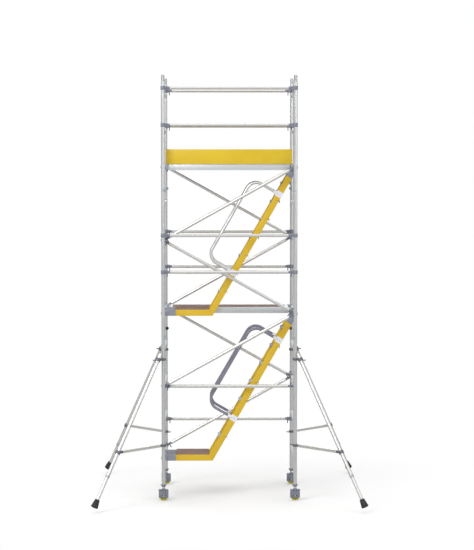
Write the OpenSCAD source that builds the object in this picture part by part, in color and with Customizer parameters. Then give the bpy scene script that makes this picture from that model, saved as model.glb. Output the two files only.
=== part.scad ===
/* [Tower] */
// Distance between post centres along the tower
bay_length = 1800; // [1700:10:2200]
// Distance between post centres across the tower
bay_width = 1400; // [1380:10:1700]
// Height of a base or middle frame
frame_height = 2000; // [1900:50:2450]
// Height of a top frame
top_frame_height = 1500; // [1450:50:1900]
// Length of bare leg seen between a castor and its nut
leg_seen = 21.7; // [15:0.1:60]

/* [Frame tubes] */
// Outside diameter of a post
post_d = 50.8; // [48:0.1:54]
// Wall of a post
post_wall = 3.2; // [2:0.1:4]
// Outside diameter of a rung
rung_d = 48; // [44:0.5:50]
// Wall of a rung
rung_wall = 2.5; // [2:0.1:4]
// Height of the lowest rung above the bottom of its frame
first_rung = 340; // [300:5:360]
// Distance between rungs
rung_pitch = 500; // [450:5:520]
// Length of a spigot above the joint
spigot_length = 85; // [60:1:120]

/* [Braces] */
// Outside diameter of a brace tube
brace_d = 44.5; // [40:0.5:46]
// Wall of a brace tube
brace_wall = 2; // [1.5:0.1:3]
// Length of a claw's jaw along the tube it holds
jaw_width = 40; // [34:1:42]
// Thickness of a claw's jaw
jaw_wall = 11; // [8:0.5:13]
// Height of a guardrail above the rung below it
rail_above_rung = 70; // [60:1:90]

/* [Platforms] */
// Depth of a platform's side beams
beam_depth = 82; // [70:1:100]
// Width of a platform's side beams
beam_width = 40; // [30:1:40]
// Thickness of the deck boards
deck_thickness = 12; // [9:1:15]
// Length of the opening under the hatch
hatch_length = 878; // [700:1:900]
// Height of the toe boards
toe_board_height = 200; // [150:5:230]
// Thickness of the toe boards
toe_board_thickness = 20; // [15:1:25]

/* [Stairs] */
// Slope of a flight
flight_angle = 60; // [56:1:62]
// Depth of a stringer
stringer_depth = 84; // [70:1:95]
// Width of a stringer
stringer_width = 30; // [24:1:32]
// Height between treads
riser = 250; // [200:5:260]
// Thickness of a tread
tread_thickness = 40; // [25:1:45]
// Outside diameter of a handrail
handrail_d = 38; // [30:1:46]
// Distance between a handrail and the middle of its stringer
handrail_offset = 420; // [350:5:440]
// Radius of a handrail's bends
handrail_bend = 140; // [90:5:150]

/* [Castors] */
// Diameter of a castor wheel
wheel_d = 125; // [110:1:150]
// Width of a castor wheel
wheel_width = 40; // [32:1:44]
// Outside diameter of an adjustable leg
leg_d = 38; // [34:0.5:40]
// Length of an adjustable leg's tube
leg_length = 470; // [400:5:520]

/* [Stabilisers] */
// Distance of a foot from its post along the tower
foot_out_x = 890; // [750:10:1000]
// Distance of a foot from its post across the tower
foot_out_y = 1000; // [850:10:1100]
// Height of the middle of a foot's sole above the floor
foot_height = 79; // [60:1:120]
// Height of the upper clamp above the floor
upper_clamp_z = 1940; // [1900:5:1960]
// Height of the lower clamp above the floor
lower_clamp_z = 757; // [680:1:800]
// Outside diameter of a stabiliser's upper tube
stabiliser_d = 50.8; // [48:0.1:52]
// Outside diameter of a stabiliser's leg
stabiliser_leg_d = 45; // [40:0.1:45]
// Length of leg seen between the upper tube and the foot
leg_shown = 330; // [300:5:400]

/* [Hidden] */

$fn = 48;
over = 1;                // how far a cutting shape runs past what it cuts
weld_gap = 0.3;          // line between the tubes of one welded frame
clearance = 0.3;         // between a clamp, claw or hook and the tube it holds
running = 0.06;          // radial clearance of a pin in its hole

// Castors
axle_r = 6;
hub_r = 18;
hub_width = wheel_width + 6;
rim_inset = 5;
tread_crown = 4;
tyre_r = wheel_d / 2;
fork_gap = 1.5;          // between the tyre and the hood
hood_wall = 2.5;
fork_plate = 5;
fork_inner = hub_width + 2;
fork_width = fork_inner + 2 * fork_plate;
fork_open_z = 38;
fork_half = tyre_r + fork_gap + hood_wall;
fork_corner = 12;
fork_top_z = wheel_d + 25;
swivel_r = 23;
leg_bottom_z = fork_top_z + 15;
leg_wall = 4;
stem_length = 60;
leg_bush = 30;
nut_height = 33;
nut_r = 34;
nut_foot_r = 25;
nut_wing = [80, 12, 10];
pedal_pin_r = 4;
pedal_x = 47;
pedal_z = fork_top_z - 14;
pedal_width = fork_inner - 6;
pedal_back = 37;         // from the middle of the fork to the block behind the pedal
pedal_room = 30;         // height that is cut away between the plates for the pedal
pedal_boss_r = 7;
axle_nut_r = 10;
axle_nut_height = 4;
tyre_depth = 12;
tyre_shoulder = 6;
frame_lift = leg_bottom_z + leg_seen + nut_height + clearance;

// Posts and levels. side is -1 at the left and 1 at the right, row is -1 at the front and 1 at the back.
LEFT = -1;
RIGHT = 1;
FRONT = -1;
BACK = 1;
CORNERS = [[LEFT, FRONT], [RIGHT, FRONT], [LEFT, BACK], [RIGHT, BACK]];
LEVELS = [0, 1, 2];
function post_x(side) = side * bay_length / 2;
function post_y(row) = row * bay_width / 2;
function frame_z(level) = frame_lift + level * frame_height;
function height_of(level) = level == 2 ? top_frame_height : frame_height;
function rung_count(level) = floor((height_of(level) - first_rung - rung_d) / rung_pitch) + 1;
function rung_z(level, step) = frame_z(level) + first_rung + step * rung_pitch;

// Frames
post_bore = post_d - 2 * post_wall;
spigot_d = post_bore - 1;
spigot_wall = 6;
spigot_chamfer = 5;
spigot_press = 0.1;      // clearance of a spigot in the tube that it is fixed in
clip_height = 42;
clip_thickness = 5;
clip_lift = 3;
clip_cut = 4;            // from the middle of a post to the edge of its clip
clip_pad = [16, 20, 26]; // finger pad that stands out of a clip

// Braces: the two lanes are where claws sit side by side on a rung, counted inwards from the post
lane_gap = 3;            // between two claws side by side
lane_a = bay_width / 2 - post_d / 2 - 2.6 - jaw_width / 2;
lane_b = lane_a - jaw_width - lane_gap;
claw_reach = 95;         // from the middle of the held tube to the end of the brace tube
claw_body = 66;
claw_block = [0.8, 0.9]; // width and height of a claw's block as shares of its jaw's length
claw_neck_d = 36;
claw_plug = 30;
mouth_share = 0.8;       // width of a claw's mouth as a share of the held tube
post_jaw_height = 52;
trigger = [12, 14, 40];
trigger_back = 4;        // from the end of a claw's block back to its trigger
low_rail_lift = 720;     // height of the lowest rear brace above the bottom of the base frame
// [row, lane, from side, level, step, to side, level, step]
DIAGONALS = [
    [FRONT, lane_a, LEFT, 0, 2, RIGHT, 1, 0],
    [FRONT, lane_b, RIGHT, 1, 0, LEFT, 1, 2],
    [FRONT, lane_a, LEFT, 1, 2, RIGHT, 2, 0],
    [BACK, lane_a, LEFT, 0, 0, RIGHT, 0, 2],
    [BACK, lane_b, RIGHT, 0, 2, LEFT, 1, 0],
    [BACK, lane_a, LEFT, 1, 0, RIGHT, 1, 2],
    [BACK, lane_b, RIGHT, 1, 2, LEFT, 2, 0]];
// [row, height] of the rails that are clipped to the posts
POST_RAILS = [
    for (row = [FRONT, BACK]) for (level = [1, 2]) for (step = [1, 2])
        [row, rung_z(level, step) + rail_above_rung],
    [BACK, frame_z(0) + low_rail_lift]];
RUNG_RAIL_Z = rung_z(0, 2);

// Platforms
platform_lift = 38;      // top of a platform above the middle of the rung that it hangs on
platform_split = 5;      // half the gap between two platforms side by side
platform_side_gap = 4;   // between a platform and the claws on the inner lane
platform_width = lane_b - jaw_width / 2 - platform_side_gap - platform_split;
platform_end = 70;       // from the middle of a rung to the end of a platform's beams
beam_wall = 2.5;
end_beam_share = 0.7;    // depth of an end beam as a share of a side beam's
bearer = [30, 36];
deck_recess = 3;
deck_gap = 1;
hatch_side_gap = 2;      // between the hatch opening and the pieces round it
ledge = [12, 4];
hook_wall = 12;
hook_width = 34;
hook_drop = 22;
hook_top = 2;            // between a hook's arm and the top of its beam
hook_bottom = 8;         // between a hook's arm and the bottom of its beam
platform_arm_bottom = platform_lift - beam_depth + hook_bottom;
HATCH_LEVEL = 2;
platform_x = bay_length / 2 - platform_end;
hatch_right = platform_x - beam_width - hatch_side_gap;
hatch_left = hatch_right - hatch_length;
function platform_z(level) = rung_z(level, 0) + platform_lift;
platform_outer_y = platform_split + platform_width;

// Hatch hinge: its axis runs along the front edge of the opening, just above the deck
hinge_r = 7;
hinge_pin_r = 3;
knuckle = 60;
knuckle_gap = 1;
leaf = [60, 26, 3];
hatch_gap = 4;
hinge_lift = hinge_r + 0.5;
hinge_y = -(platform_outer_y - beam_width - hatch_side_gap);
HINGE_SHARES = [0.15, 0.85];
hand_slot = [100, 35];
hand_slot_in = 60;       // from the hatch's free edge to the middle of its hand slot
barrel_sink = 2;         // how far a leaf runs up into its hinge barrel

// Toe boards
board_lift = 2;
board_end = 43;          // from the middle of a post to the end of a long board
long_board_y = platform_outer_y + toe_board_thickness / 2;
board_x = bay_length / 2 - board_end;
board_clip = [40, 3, 70];

// Stairs: everything is placed from the bend between landing and flight
rise = frame_height;
riser_count = round(rise / riser);
landing_lift = 45;       // top of a landing above the middle of its rung
flight_stop = 22;        // from the middle of the upper rung back to the line of the flight's top edge
bend_x = bay_length / 2 - flight_stop - rise / tan(flight_angle);
landing_start = 165;     // from the middle of the rung to the start of the landing's stringers
landing_x = -bay_length / 2 + landing_start;
flight_short = 165;      // height that the stringers stop below the upper landing
flight_length = round((rise - flight_short) / sin(flight_angle));
stringer_wall = 2.5;
mitre = tan(flight_angle / 2);
stair_gap = 5;
stair_outer_y = platform_outer_y - beam_width - stair_gap - stringer_width / 2;
stair_inner_y = platform_split + beam_width + stair_gap + stringer_width / 2;
STRINGERS_Y = [-stair_outer_y, -stair_inner_y];
tread_wall = 3;
tread_front = 25;
tread_back = 8;
landing_inset = 3;
landing_board = 12;
stair_hook_width = 28;
function landing_z(level) = rung_z(level, 0) + landing_lift;

// Handrails, in distances along the flight from the bend
rail_start = 604;
handrail_wall = 2.5;
bracket_length = 80;
bracket_wall = 4;
socket_r = handrail_d / 2 + 5;
rail_stop_back = 270;    // from the top of the flight back to the upper end of a handrail
rail_stop = flight_length - rail_stop_back;
socket_height = 50;

// Stabilisers, in distances out from the post along the plane that the tubes lie in
clamp_out = 105;         // from the middle of the post to the middle of the upper tube at the upper clamp
foot_out = norm([foot_out_x, foot_out_y]);
stab_run = [foot_out - clamp_out, foot_height - upper_clamp_z];
stab_length = norm(stab_run);
stab_lean = atan2(stab_run[0], -stab_run[1]);
stab_wall = 2.5;
stab_above = 84;         // length of tube above the upper clamp
foot_length = 110;
foot_top_r = 32.5;
foot_sole_r = 50;
foot_socket = 60;
leg_overlap = 430;
stab_tube_end = stab_length - foot_length - leg_shown;
clamp_wall = 10;
clamp_height = 32;
clamp_ring = 42;
arm_d = 42;
arm_wall = 2.5;
arm_start = 78;
coupler_out = clamp_out + (upper_clamp_z - lower_clamp_z) * tan(stab_lean);
coupler_block = 80;
handle_rod_r = 5;
handle_rod = 45;
handle_wing = [10, 50, 12];
handle_back = 4;         // between a clamp's bore and the root of its handle
clamp_arm = [36, 30];
coupler_arm = 34;

// A round tube from the origin upwards
module tube(d, wall, length) {
    difference() {
        cylinder(d = d, h = length);
        translate([0, 0, -over]) cylinder(d = d - 2 * wall, h = length + 2 * over);
    }
}

// Turns the z axis of its children to run from one point towards another
module along(from, to) {
    v = to - from;
    translate(from) rotate([0, acos(v.z / norm(v)), atan2(v.y, v.x)]) children();
}

// A box tube along x, with its top at z = 0 and its middle at y = 0
module beam_x(length, width, depth, wall) {
    difference() {
        translate([0, -width / 2, -depth]) cube([length, width, depth]);
        translate([-over, -width / 2 + wall, -depth + wall])
            cube([length + 2 * over, width - 2 * wall, depth - 2 * wall]);
    }
}

// ---- Frames ----

module rung(side, z) {
    difference() {
        translate([post_x(side), post_y(FRONT), z]) rotate([-90, 0, 0]) tube(rung_d, rung_wall, bay_width);
        for (row = [FRONT, BACK])
            translate([post_x(side), post_y(row), z - rung_d])
                cylinder(d = post_d + 2 * weld_gap, h = 2 * rung_d);
    }
}

module frame(side, level) {
    color("silver") {
        for (row = [FRONT, BACK])
            translate([post_x(side), post_y(row), frame_z(level)]) tube(post_d, post_wall, height_of(level));
        for (step = [0:rung_count(level) - 1]) rung(side, rung_z(level, step));
    }
}

module spigot() {
    difference() {
        union() {
            translate([0, 0, -spigot_length]) cylinder(d = post_bore - 2 * spigot_press, h = spigot_length);
            cylinder(d = spigot_d, h = spigot_length - spigot_chamfer);
            translate([0, 0, spigot_length - spigot_chamfer])
                cylinder(d1 = spigot_d, d2 = spigot_d - 2 * spigot_chamfer, h = spigot_chamfer);
        }
        translate([0, 0, -spigot_length - over])
            cylinder(d = spigot_d - 2 * spigot_wall, h = 2 * (spigot_length + over));
    }
}

module frame_spigots() {
    color("silver")
        for (corner = CORNERS) for (level = LEVELS)
            translate([post_x(corner[0]), post_y(corner[1]), frame_z(level) + height_of(level)]) spigot();
}

// Spring clip round the inner half of a post, just above a joint
module interlock_clip(side) {
    post_r = post_d / 2 + clearance;
    difference() {
        union() {
            cylinder(r = post_r + clip_thickness, h = clip_height);
            translate([-side * (post_r + clip_pad[0] / 2), 0, clip_height / 2]) cube(clip_pad, center = true);
        }
        translate([0, 0, -over]) cylinder(r = post_r, h = clip_height + 2 * over);
        translate([side * (post_d + clip_cut), 0, clip_height / 2])
            cube([2 * post_d, 3 * post_d, clip_height + 2 * over], center = true);
    }
}

module interlock_clips() {
    color("#202024")
        for (corner = CORNERS) for (level = [1, 2])
            translate([post_x(corner[0]), post_y(corner[1]), frame_z(level) + clip_lift])
                interlock_clip(corner[0]);
}

// ---- Braces ----

function rung_point(side, level, step, y) = [post_x(side), y, rung_z(level, step)];
function diagonal_start(d) = rung_point(d[2], d[3], d[4], d[0] * d[1]);
function diagonal_stop(d) = rung_point(d[5], d[6], d[7], d[0] * d[1]);
function rail_point(side, y, z) = [post_x(side), y, z];

module brace_tube(from, to) {
    along(from, to) translate([0, 0, claw_reach]) tube(brace_d, brace_wall, norm(to - from) - 2 * claw_reach);
}

module horizontal_braces() {
    color("gainsboro") {
        for (rail = POST_RAILS)
            brace_tube(
                rail_point(LEFT, post_y(rail[0]), rail[1]),
                rail_point(RIGHT, post_y(rail[0]), rail[1]));
        brace_tube(rail_point(LEFT, -lane_b, RUNG_RAIL_Z), rail_point(RIGHT, -lane_b, RUNG_RAIL_Z));
    }
}

module diagonal_braces() {
    color("gainsboro") for (d = DIAGONALS) brace_tube(diagonal_start(d), diagonal_stop(d));
}

// A claw with the held tube along z and the brace tube along x
module claw(held_d, width) {
    jaw_r = held_d / 2 + clearance;
    difference() {
        union() {
            cylinder(r = jaw_r + jaw_wall, h = width, center = true);
            translate([0, -width * claw_block[0] / 2, -width * claw_block[1] / 2])
                cube([claw_body, width * claw_block[0], width * claw_block[1]]);
            rotate([0, 90, 0]) cylinder(d = claw_neck_d, h = claw_reach);
            translate([claw_reach - over, 0, 0]) rotate([0, 90, 0])
                cylinder(d = brace_d - 2 * brace_wall - 2 * clearance, h = claw_plug + over);
        }
        cylinder(r = jaw_r, h = 2 * width, center = true);
        translate([-held_d, 0, 0]) cube([2 * held_d, held_d * mouth_share, 2 * width], center = true);
    }
}

module claw_trigger(half_height) {
    translate([claw_body - trigger[0] - trigger_back, -trigger[1] / 2, -half_height - clearance - trigger[2]])
        cube(trigger);
}

// Puts its children at both ends of every brace, with x along the brace and z along the held tube
module at_post_ends() {
    for (rail = POST_RAILS) for (side = [LEFT, RIGHT])
        translate(rail_point(side, post_y(rail[0]), rail[1]))
            rotate([0, 0, side == LEFT ? 0 : 180]) children();
}

module at_rung_end(from, to) {
    v = to - from;
    translate(from) rotate([0, -atan2(v.z, v.x), 0]) rotate([90, 0, 0]) children();
}

module at_rung_ends() {
    left = rail_point(LEFT, -lane_b, RUNG_RAIL_Z);
    right = rail_point(RIGHT, -lane_b, RUNG_RAIL_Z);
    at_rung_end(left, right) children();
    at_rung_end(right, left) children();
    for (d = DIAGONALS) {
        at_rung_end(diagonal_start(d), diagonal_stop(d)) children();
        at_rung_end(diagonal_stop(d), diagonal_start(d)) children();
    }
}

module brace_claws() {
    color("slategray") {
        at_post_ends() claw(post_d, post_jaw_height);
        at_rung_ends() claw(rung_d, jaw_width);
    }
}

module claw_triggers() {
    color("dimgray") {
        at_post_ends() claw_trigger(post_jaw_height * claw_block[1] / 2);
        at_rung_ends() rotate([-90, 0, 0]) claw_trigger(claw_neck_d / 2);
    }
}

// ---- Platforms ----

module bearer_y(x, top) {
    inner = platform_width - 2 * beam_width - 2 * weld_gap;
    translate([x, -inner / 2, top]) rotate([0, 0, 90]) beam_x(inner, bearer[0], bearer[1], beam_wall);
}

module platform_rails(bearers) {
    inner = platform_width - 2 * beam_width - 2 * weld_gap;
    for (y = [-1, 1])
        translate([-platform_x, y * (platform_width - beam_width) / 2, 0])
            beam_x(2 * platform_x, beam_width, beam_depth, beam_wall);
    for (side = [LEFT, RIGHT])
        translate([side * (platform_x - beam_width / 2), -inner / 2, 0]) rotate([0, 0, 90])
            beam_x(inner, beam_width, beam_depth * end_beam_share, beam_wall);
    for (x = bearers) bearer_y(x, -deck_recess - deck_thickness);
}

module at_platform(row, level) {
    translate([0, row * (platform_split + platform_width / 2), platform_z(level)]) children();
}

module deck_platform_frames() {
    color("lightgray")
        for (level = [1, HATCH_LEVEL]) at_platform(BACK, level)
            platform_rails([-platform_x / 2, 0, platform_x / 2]);
}

function knuckle_x(share) = hatch_left + share * hatch_length;

// Half of each hinge that is fixed to the front beam, with its pin
module fixed_knuckles() {
    for (share = HINGE_SHARES) translate([knuckle_x(share), hinge_y, platform_z(HATCH_LEVEL) + hinge_lift]) {
        rotate([0, 90, 0]) cylinder(r = hinge_r, h = knuckle);
        translate([-knuckle, 0, 0]) rotate([0, 90, 0]) cylinder(r = hinge_pin_r, h = knuckle + over);
        translate([0, -leaf[1], -hinge_lift]) cube([leaf[0], leaf[1], leaf[2]]);
    }
}

module hatch_platform_frame() {
    ledge_z = -deck_recess - deck_thickness - clearance - ledge[1];
    color("lightgray") {
        at_platform(FRONT, HATCH_LEVEL) {
            platform_rails([(hatch_left - platform_x) / 2, hatch_left - bearer[0] / 2 - hatch_side_gap]);
            translate([hatch_left, platform_width / 2 - beam_width - ledge[0], ledge_z])
                cube([hatch_length, ledge[0], ledge[1]]);
        }
        fixed_knuckles();
    }
}

module deck_board(from_x, to_x) {
    width = platform_width - 2 * beam_width - 2 * deck_gap;
    translate([from_x, -width / 2, -deck_recess - deck_thickness])
        cube([to_x - from_x, width, deck_thickness]);
}

module platform_decks() {
    board_end_x = platform_x - beam_width - deck_gap;
    color("#8b7060") {
        for (level = [1, HATCH_LEVEL]) at_platform(BACK, level) deck_board(-board_end_x, board_end_x);
        at_platform(FRONT, HATCH_LEVEL) deck_board(-board_end_x, hatch_left - hatch_side_gap);
    }
}

// Hook over a rung at the origin, with an arm towards +x that ends at length reach
module rung_hook(width, reach, top, bottom) {
    hook_r = rung_d / 2 + clearance;
    rotate([90, 0, 0]) linear_extrude(height = width, center = true) difference() {
        union() {
            circle(r = hook_r + hook_wall);
            translate([-hook_r - hook_wall, -hook_drop]) square([2 * (hook_r + hook_wall), hook_drop]);
            translate([0, bottom]) square([reach, top - bottom]);
        }
        circle(r = hook_r);
        translate([-hook_r, -3 * hook_drop]) square([2 * hook_r, 3 * hook_drop]);
    }
}

module platform_hooks() {
    middle_y = platform_split + platform_width / 2;
    beam_y = (platform_width - beam_width) / 2;
    color("#b8bcc2")
        for (place = [[FRONT, HATCH_LEVEL], [BACK, 1], [BACK, HATCH_LEVEL]]) for (side = [LEFT, RIGHT])
            for (edge = [-1, 1])
                translate([post_x(side), place[0] * middle_y + edge * beam_y, rung_z(place[1], 0)])
                    rotate([0, 0, side == LEFT ? 0 : 180])
                        rung_hook(hook_width, platform_end, platform_lift - hook_top, platform_arm_bottom);
}

module hatch_panel() {
    panel_top = platform_z(HATCH_LEVEL) - deck_recess;
    axis_z = platform_z(HATCH_LEVEL) + hinge_lift;
    front_y = hinge_y + hinge_pin_r;
    back_y = -(platform_split + beam_width + hatch_gap);
    slot_x = (hatch_left + hatch_right) / 2;
    slot_y = back_y - hand_slot_in;
    color("#8b7060") difference() {
        union() {
            translate([hatch_left + hatch_gap, front_y, panel_top - deck_thickness])
                cube([hatch_length - 2 * hatch_gap, back_y - front_y, deck_thickness]);
            for (share = HINGE_SHARES) translate([knuckle_x(share) - knuckle_gap - knuckle, hinge_y, 0]) {
                translate([0, 0, axis_z]) rotate([0, 90, 0]) cylinder(r = hinge_r, h = knuckle);
                translate([0, 0, panel_top])
                    cube([leaf[0], leaf[1], axis_z - hinge_r + barrel_sink - panel_top]);
            }
        }
        for (share = HINGE_SHARES)
            translate([knuckle_x(share) - knuckle_gap - knuckle - over, hinge_y, axis_z]) rotate([0, 90, 0])
                cylinder(r = hinge_pin_r + running, h = knuckle + 2 * over);
        translate([slot_x, slot_y, panel_top - deck_thickness / 2])
            cube([hand_slot[0], hand_slot[1], 2 * deck_thickness], center = true);
    }
}

// ---- Toe boards ----

module long_toe_boards() {
    bottom = platform_z(HATCH_LEVEL) + board_lift;
    color("gold") for (row = [FRONT, BACK])
        translate([-board_x, row * long_board_y - toe_board_thickness / 2, bottom])
            cube([2 * board_x, toe_board_thickness, toe_board_height]);
}

module end_toe_boards() {
    length = 2 * (platform_outer_y - clearance);
    color("gold") for (side = [LEFT, RIGHT])
        translate([
            side * (board_x - toe_board_thickness / 2) - toe_board_thickness / 2,
            -length / 2,
            platform_z(HATCH_LEVEL) + board_lift])
            cube([toe_board_thickness, length, toe_board_height]);
}

// Angle piece in the inside corner of two boards
module board_angle() {
    cube(board_clip);
    cube([board_clip[1], board_clip[0], board_clip[2]]);
}

module toe_board_clips() {
    color("silver") for (corner = CORNERS)
        translate([
            corner[0] * (board_x - toe_board_thickness - clearance),
            corner[1] * (platform_outer_y - clearance),
            platform_z(HATCH_LEVEL) + board_lift + toe_board_height / 2])
            rotate([0, 0, corner[0] * corner[1] > 0 ? (corner[0] > 0 ? 180 : 0) : (corner[0] > 0 ? 90 : 270)])
                board_angle();
}

// ---- Stairs ----

// Places its children at the bend of a stair, with z upwards
module at_bend(level) {
    translate([bend_x, 0, landing_z(level)]) children();
}

// Places its children at the bend, with x up the flight and z square to it
module on_flight(level) {
    at_bend(level) rotate([0, -flight_angle, 0]) children();
}

// Outline of the landing part of a stringer, from the bend; inset makes it the hollow
function landing_outline(inset, run_on) = [
    [landing_x - bend_x - run_on, -inset],
    [inset * mitre - weld_gap + run_on, -inset],
    [(stringer_depth - inset) * mitre - weld_gap + run_on, inset - stringer_depth],
    [landing_x - bend_x - run_on, inset - stringer_depth]];

// Outline of the flight part, with x up the flight
function flight_outline(inset, run_on) = [
    [-inset * mitre - run_on, -inset],
    [-(stringer_depth - inset) * mitre - run_on, inset - stringer_depth],
    [flight_length + run_on, inset - stringer_depth],
    [flight_length + run_on, -inset]];

module box_from(outer, hollow) {
    rotate([90, 0, 0]) difference() {
        linear_extrude(height = stringer_width, center = true) polygon(outer);
        linear_extrude(height = stringer_width - 2 * stringer_wall, center = true) polygon(hollow);
    }
}

module stringers(level) {
    color("gold") for (y = STRINGERS_Y) translate([0, y, 0]) {
        at_bend(level) box_from(landing_outline(0, 0), landing_outline(stringer_wall, over));
        on_flight(level)
            box_from(
                [for (p = flight_outline(0, 0)) [max(p[0], -stringer_depth * mitre), p[1]]],
                flight_outline(stringer_wall, over));
    }
}

module tread_body(step, level) {
    width = stair_outer_y - stair_inner_y - stringer_width - 2 * weld_gap;
    z = step * rise / riser_count;
    depth = stringer_depth / sin(flight_angle) + tread_front + tread_back;
    at_bend(level)
        translate([z / tan(flight_angle) - tread_front, -(stair_outer_y + stair_inner_y + width) / 2, z])
            difference() {
                translate([0, 0, -tread_thickness]) cube([depth, width, tread_thickness]);
                translate([tread_wall, -over, -tread_thickness - over])
                    cube([depth - 2 * tread_wall, width + 2 * over, tread_thickness + over - tread_wall]);
            }
}

module stair_treads() {
    color("#9a9a9a") for (level = [0, 1]) for (step = [1:riser_count - 1]) tread_body(step, level);
}

// Boards that lie on the stringers
module stair_landings() {
    width = stair_outer_y - stair_inner_y + stringer_width - 2 * landing_inset;
    color("#8b7060") for (level = [0, 1])
        translate([landing_x + landing_inset, -(stair_outer_y + stair_inner_y + width) / 2,
            landing_z(level) + weld_gap])
            cube([bend_x - landing_x - 2 * landing_inset, width, landing_board]);
}

// Upper end of a flight: a plate from the end of the stringer to the rung above
module flight_hook(level) {
    hook_r = rung_d / 2 + clearance;
    end_x = cos(flight_angle) * (flight_length + weld_gap);
    end_z = sin(flight_angle) * (flight_length + weld_gap);
    across = [sin(flight_angle) * stringer_depth, -cos(flight_angle) * stringer_depth];
    rung = [bay_length / 2 - bend_x, rise - landing_lift];
    at_bend(level) rotate([90, 0, 0]) linear_extrude(height = stair_hook_width, center = true) difference() {
        union() {
            translate(rung) circle(r = hook_r + hook_wall);
            polygon([
                [end_x, end_z],
                rung + [-hook_r - hook_wall, 0],
                rung + [hook_r + hook_wall, -hook_drop],
                [end_x + across[0], end_z + across[1]]]);
        }
        translate(rung) circle(r = hook_r);
        translate(rung + [0, -hook_r]) square([3 * hook_r, 2 * hook_r]);
    }
}

module stair_hooks() {
    color("slategray") for (level = [0, 1]) for (y = STRINGERS_Y) translate([0, y, 0]) {
        translate([-bay_length / 2, 0, rung_z(level, 0)])
            rung_hook(stair_hook_width, landing_start, landing_lift, landing_lift - stringer_depth);
        flight_hook(level);
    }
}

// ---- Handrails ----

module rail_bend() {
    rotate([90, 0, 0]) rotate_extrude(angle = 90) translate([handrail_bend, 0]) difference() {
        circle(d = handrail_d);
        circle(d = handrail_d - 2 * handrail_wall);
    }
}

module handrail_loop() {
    height = handrail_offset - stringer_depth / 2;
    foot = bracket_wall + 2 * clearance;
    for (x = [rail_start, rail_stop]) translate([x, 0, foot])
        tube(handrail_d, handrail_wall, height - handrail_bend - foot);
    translate([rail_start + handrail_bend, 0, height]) rotate([0, 90, 0])
        tube(handrail_d, handrail_wall, rail_stop - rail_start - 2 * handrail_bend);
    translate([rail_stop - handrail_bend, 0, height - handrail_bend]) rail_bend();
    translate([rail_start + handrail_bend, 0, height - handrail_bend]) mirror([1, 0, 0]) rail_bend();
}

module handrails(level, tint) {
    color(tint) for (y = STRINGERS_Y) translate([0, y, 0]) on_flight(level) handrail_loop();
}

// Wraps a stringer from outside; inside is the direction of the treads, 1 or -1 along y
module handrail_bracket(inside) {
    sleeve = [bracket_length, stringer_width + 2 * clearance, stringer_depth + 2 * clearance];
    difference() {
        union() {
            translate([0, 0, -stringer_depth / 2])
                cube(sleeve + [0, 2 * bracket_wall, 2 * bracket_wall], center = true);
            cylinder(r = socket_r, h = socket_height);
        }
        translate([0, 0, -stringer_depth / 2]) cube(sleeve + [over, 0, 0], center = true);
        translate([0, inside * (stringer_width / 2 + bracket_length / 2), -stringer_depth / 2])
            cube([2 * bracket_length, bracket_length, sleeve[2] + 2 * bracket_wall + over], center = true);
        translate([0, 0, bracket_wall + clearance])
            cylinder(d = handrail_d + 2 * clearance, h = socket_height + over);
    }
}

module handrail_brackets() {
    color("whitesmoke") for (level = [0, 1]) for (y = STRINGERS_Y) for (x = [rail_start, rail_stop])
        translate([0, y, 0]) on_flight(level) translate([x, 0, 0])
            handrail_bracket(y == STRINGERS_Y[0] ? 1 : -1);
}

// ---- Castors and adjustable legs ----

module at_post(side, row) {
    translate([post_x(side), post_y(row), 0]) children();
}

module adjustable_leg(side, row) {
    color("silver") at_post(side, row) difference() {
        union() {
            translate([0, 0, leg_bottom_z]) cylinder(d = leg_d, h = leg_length);
            translate([0, 0, leg_bottom_z + leg_length - leg_bush])
                cylinder(d = post_bore - 2 * clearance, h = leg_bush);
        }
        translate([0, 0, leg_bottom_z - over]) cylinder(d = leg_d - 2 * leg_wall, h = leg_length + 2 * over);
    }
}

module leg_nut(side, row) {
    bottom = frame_lift - clearance - nut_height;
    color("slategray") at_post(side, row) translate([0, 0, bottom]) difference() {
        union() {
            cylinder(r1 = nut_foot_r, r2 = nut_r, h = nut_height);
            translate([0, 0, nut_height - nut_wing[2]]) cube(nut_wing, center = true);
        }
        translate([0, 0, -over]) cylinder(r = leg_d / 2 + clearance, h = nut_height + 2 * over);
    }
}

// Both side plates and the hood, as seen along the axle
// A square hood with round upper corners, from the axle
module fork_outline() {
    top = fork_top_z - tyre_r;
    translate([-fork_half, fork_open_z - tyre_r])
        square([2 * fork_half, fork_top_z - fork_open_z - fork_corner]);
    translate([-fork_half + fork_corner, 0]) square([2 * (fork_half - fork_corner), top]);
    for (x = [-1, 1]) translate([x * (fork_half - fork_corner), top - fork_corner]) circle(r = fork_corner);
}

module castor_fork(side, row) {
    color("slategray") at_post(side, row) {
        difference() {
            union() {
                translate([0, 0, tyre_r]) rotate([90, 0, 0])
                    linear_extrude(height = fork_width, center = true) fork_outline();
                translate([0, 0, wheel_d]) cylinder(r = swivel_r, h = leg_bottom_z - clearance - wheel_d);
                translate([0, 0, fork_top_z])
                    cylinder(r = leg_d / 2 - leg_wall - running, h = leg_bottom_z + stem_length - fork_top_z);
            }
            translate([-tyre_r - fork_gap, -fork_inner / 2, 0])
                cube([2 * (tyre_r + fork_gap), fork_inner, wheel_d + fork_gap]);
            // room for the pedal between the two plates
            translate([side > 0 ? pedal_back : -wheel_d, -fork_inner / 2, fork_top_z - pedal_room])
                cube([wheel_d - pedal_back, fork_inner, fork_top_z]);
            translate([side * pedal_x, 0, pedal_z]) rotate([90, 0, 0])
                cylinder(r = pedal_pin_r + running, h = 2 * fork_width, center = true);
        }
        translate([0, 0, tyre_r]) rotate([90, 0, 0])
            cylinder(r = axle_r, h = fork_width + 2 * axle_nut_height, center = true);
        for (y = [-1, 1]) translate([0, y * (fork_width + axle_nut_height) / 2, tyre_r]) rotate([90, 0, 0])
            cylinder(r = axle_nut_r, h = axle_nut_height, center = true);
    }
}

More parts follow.
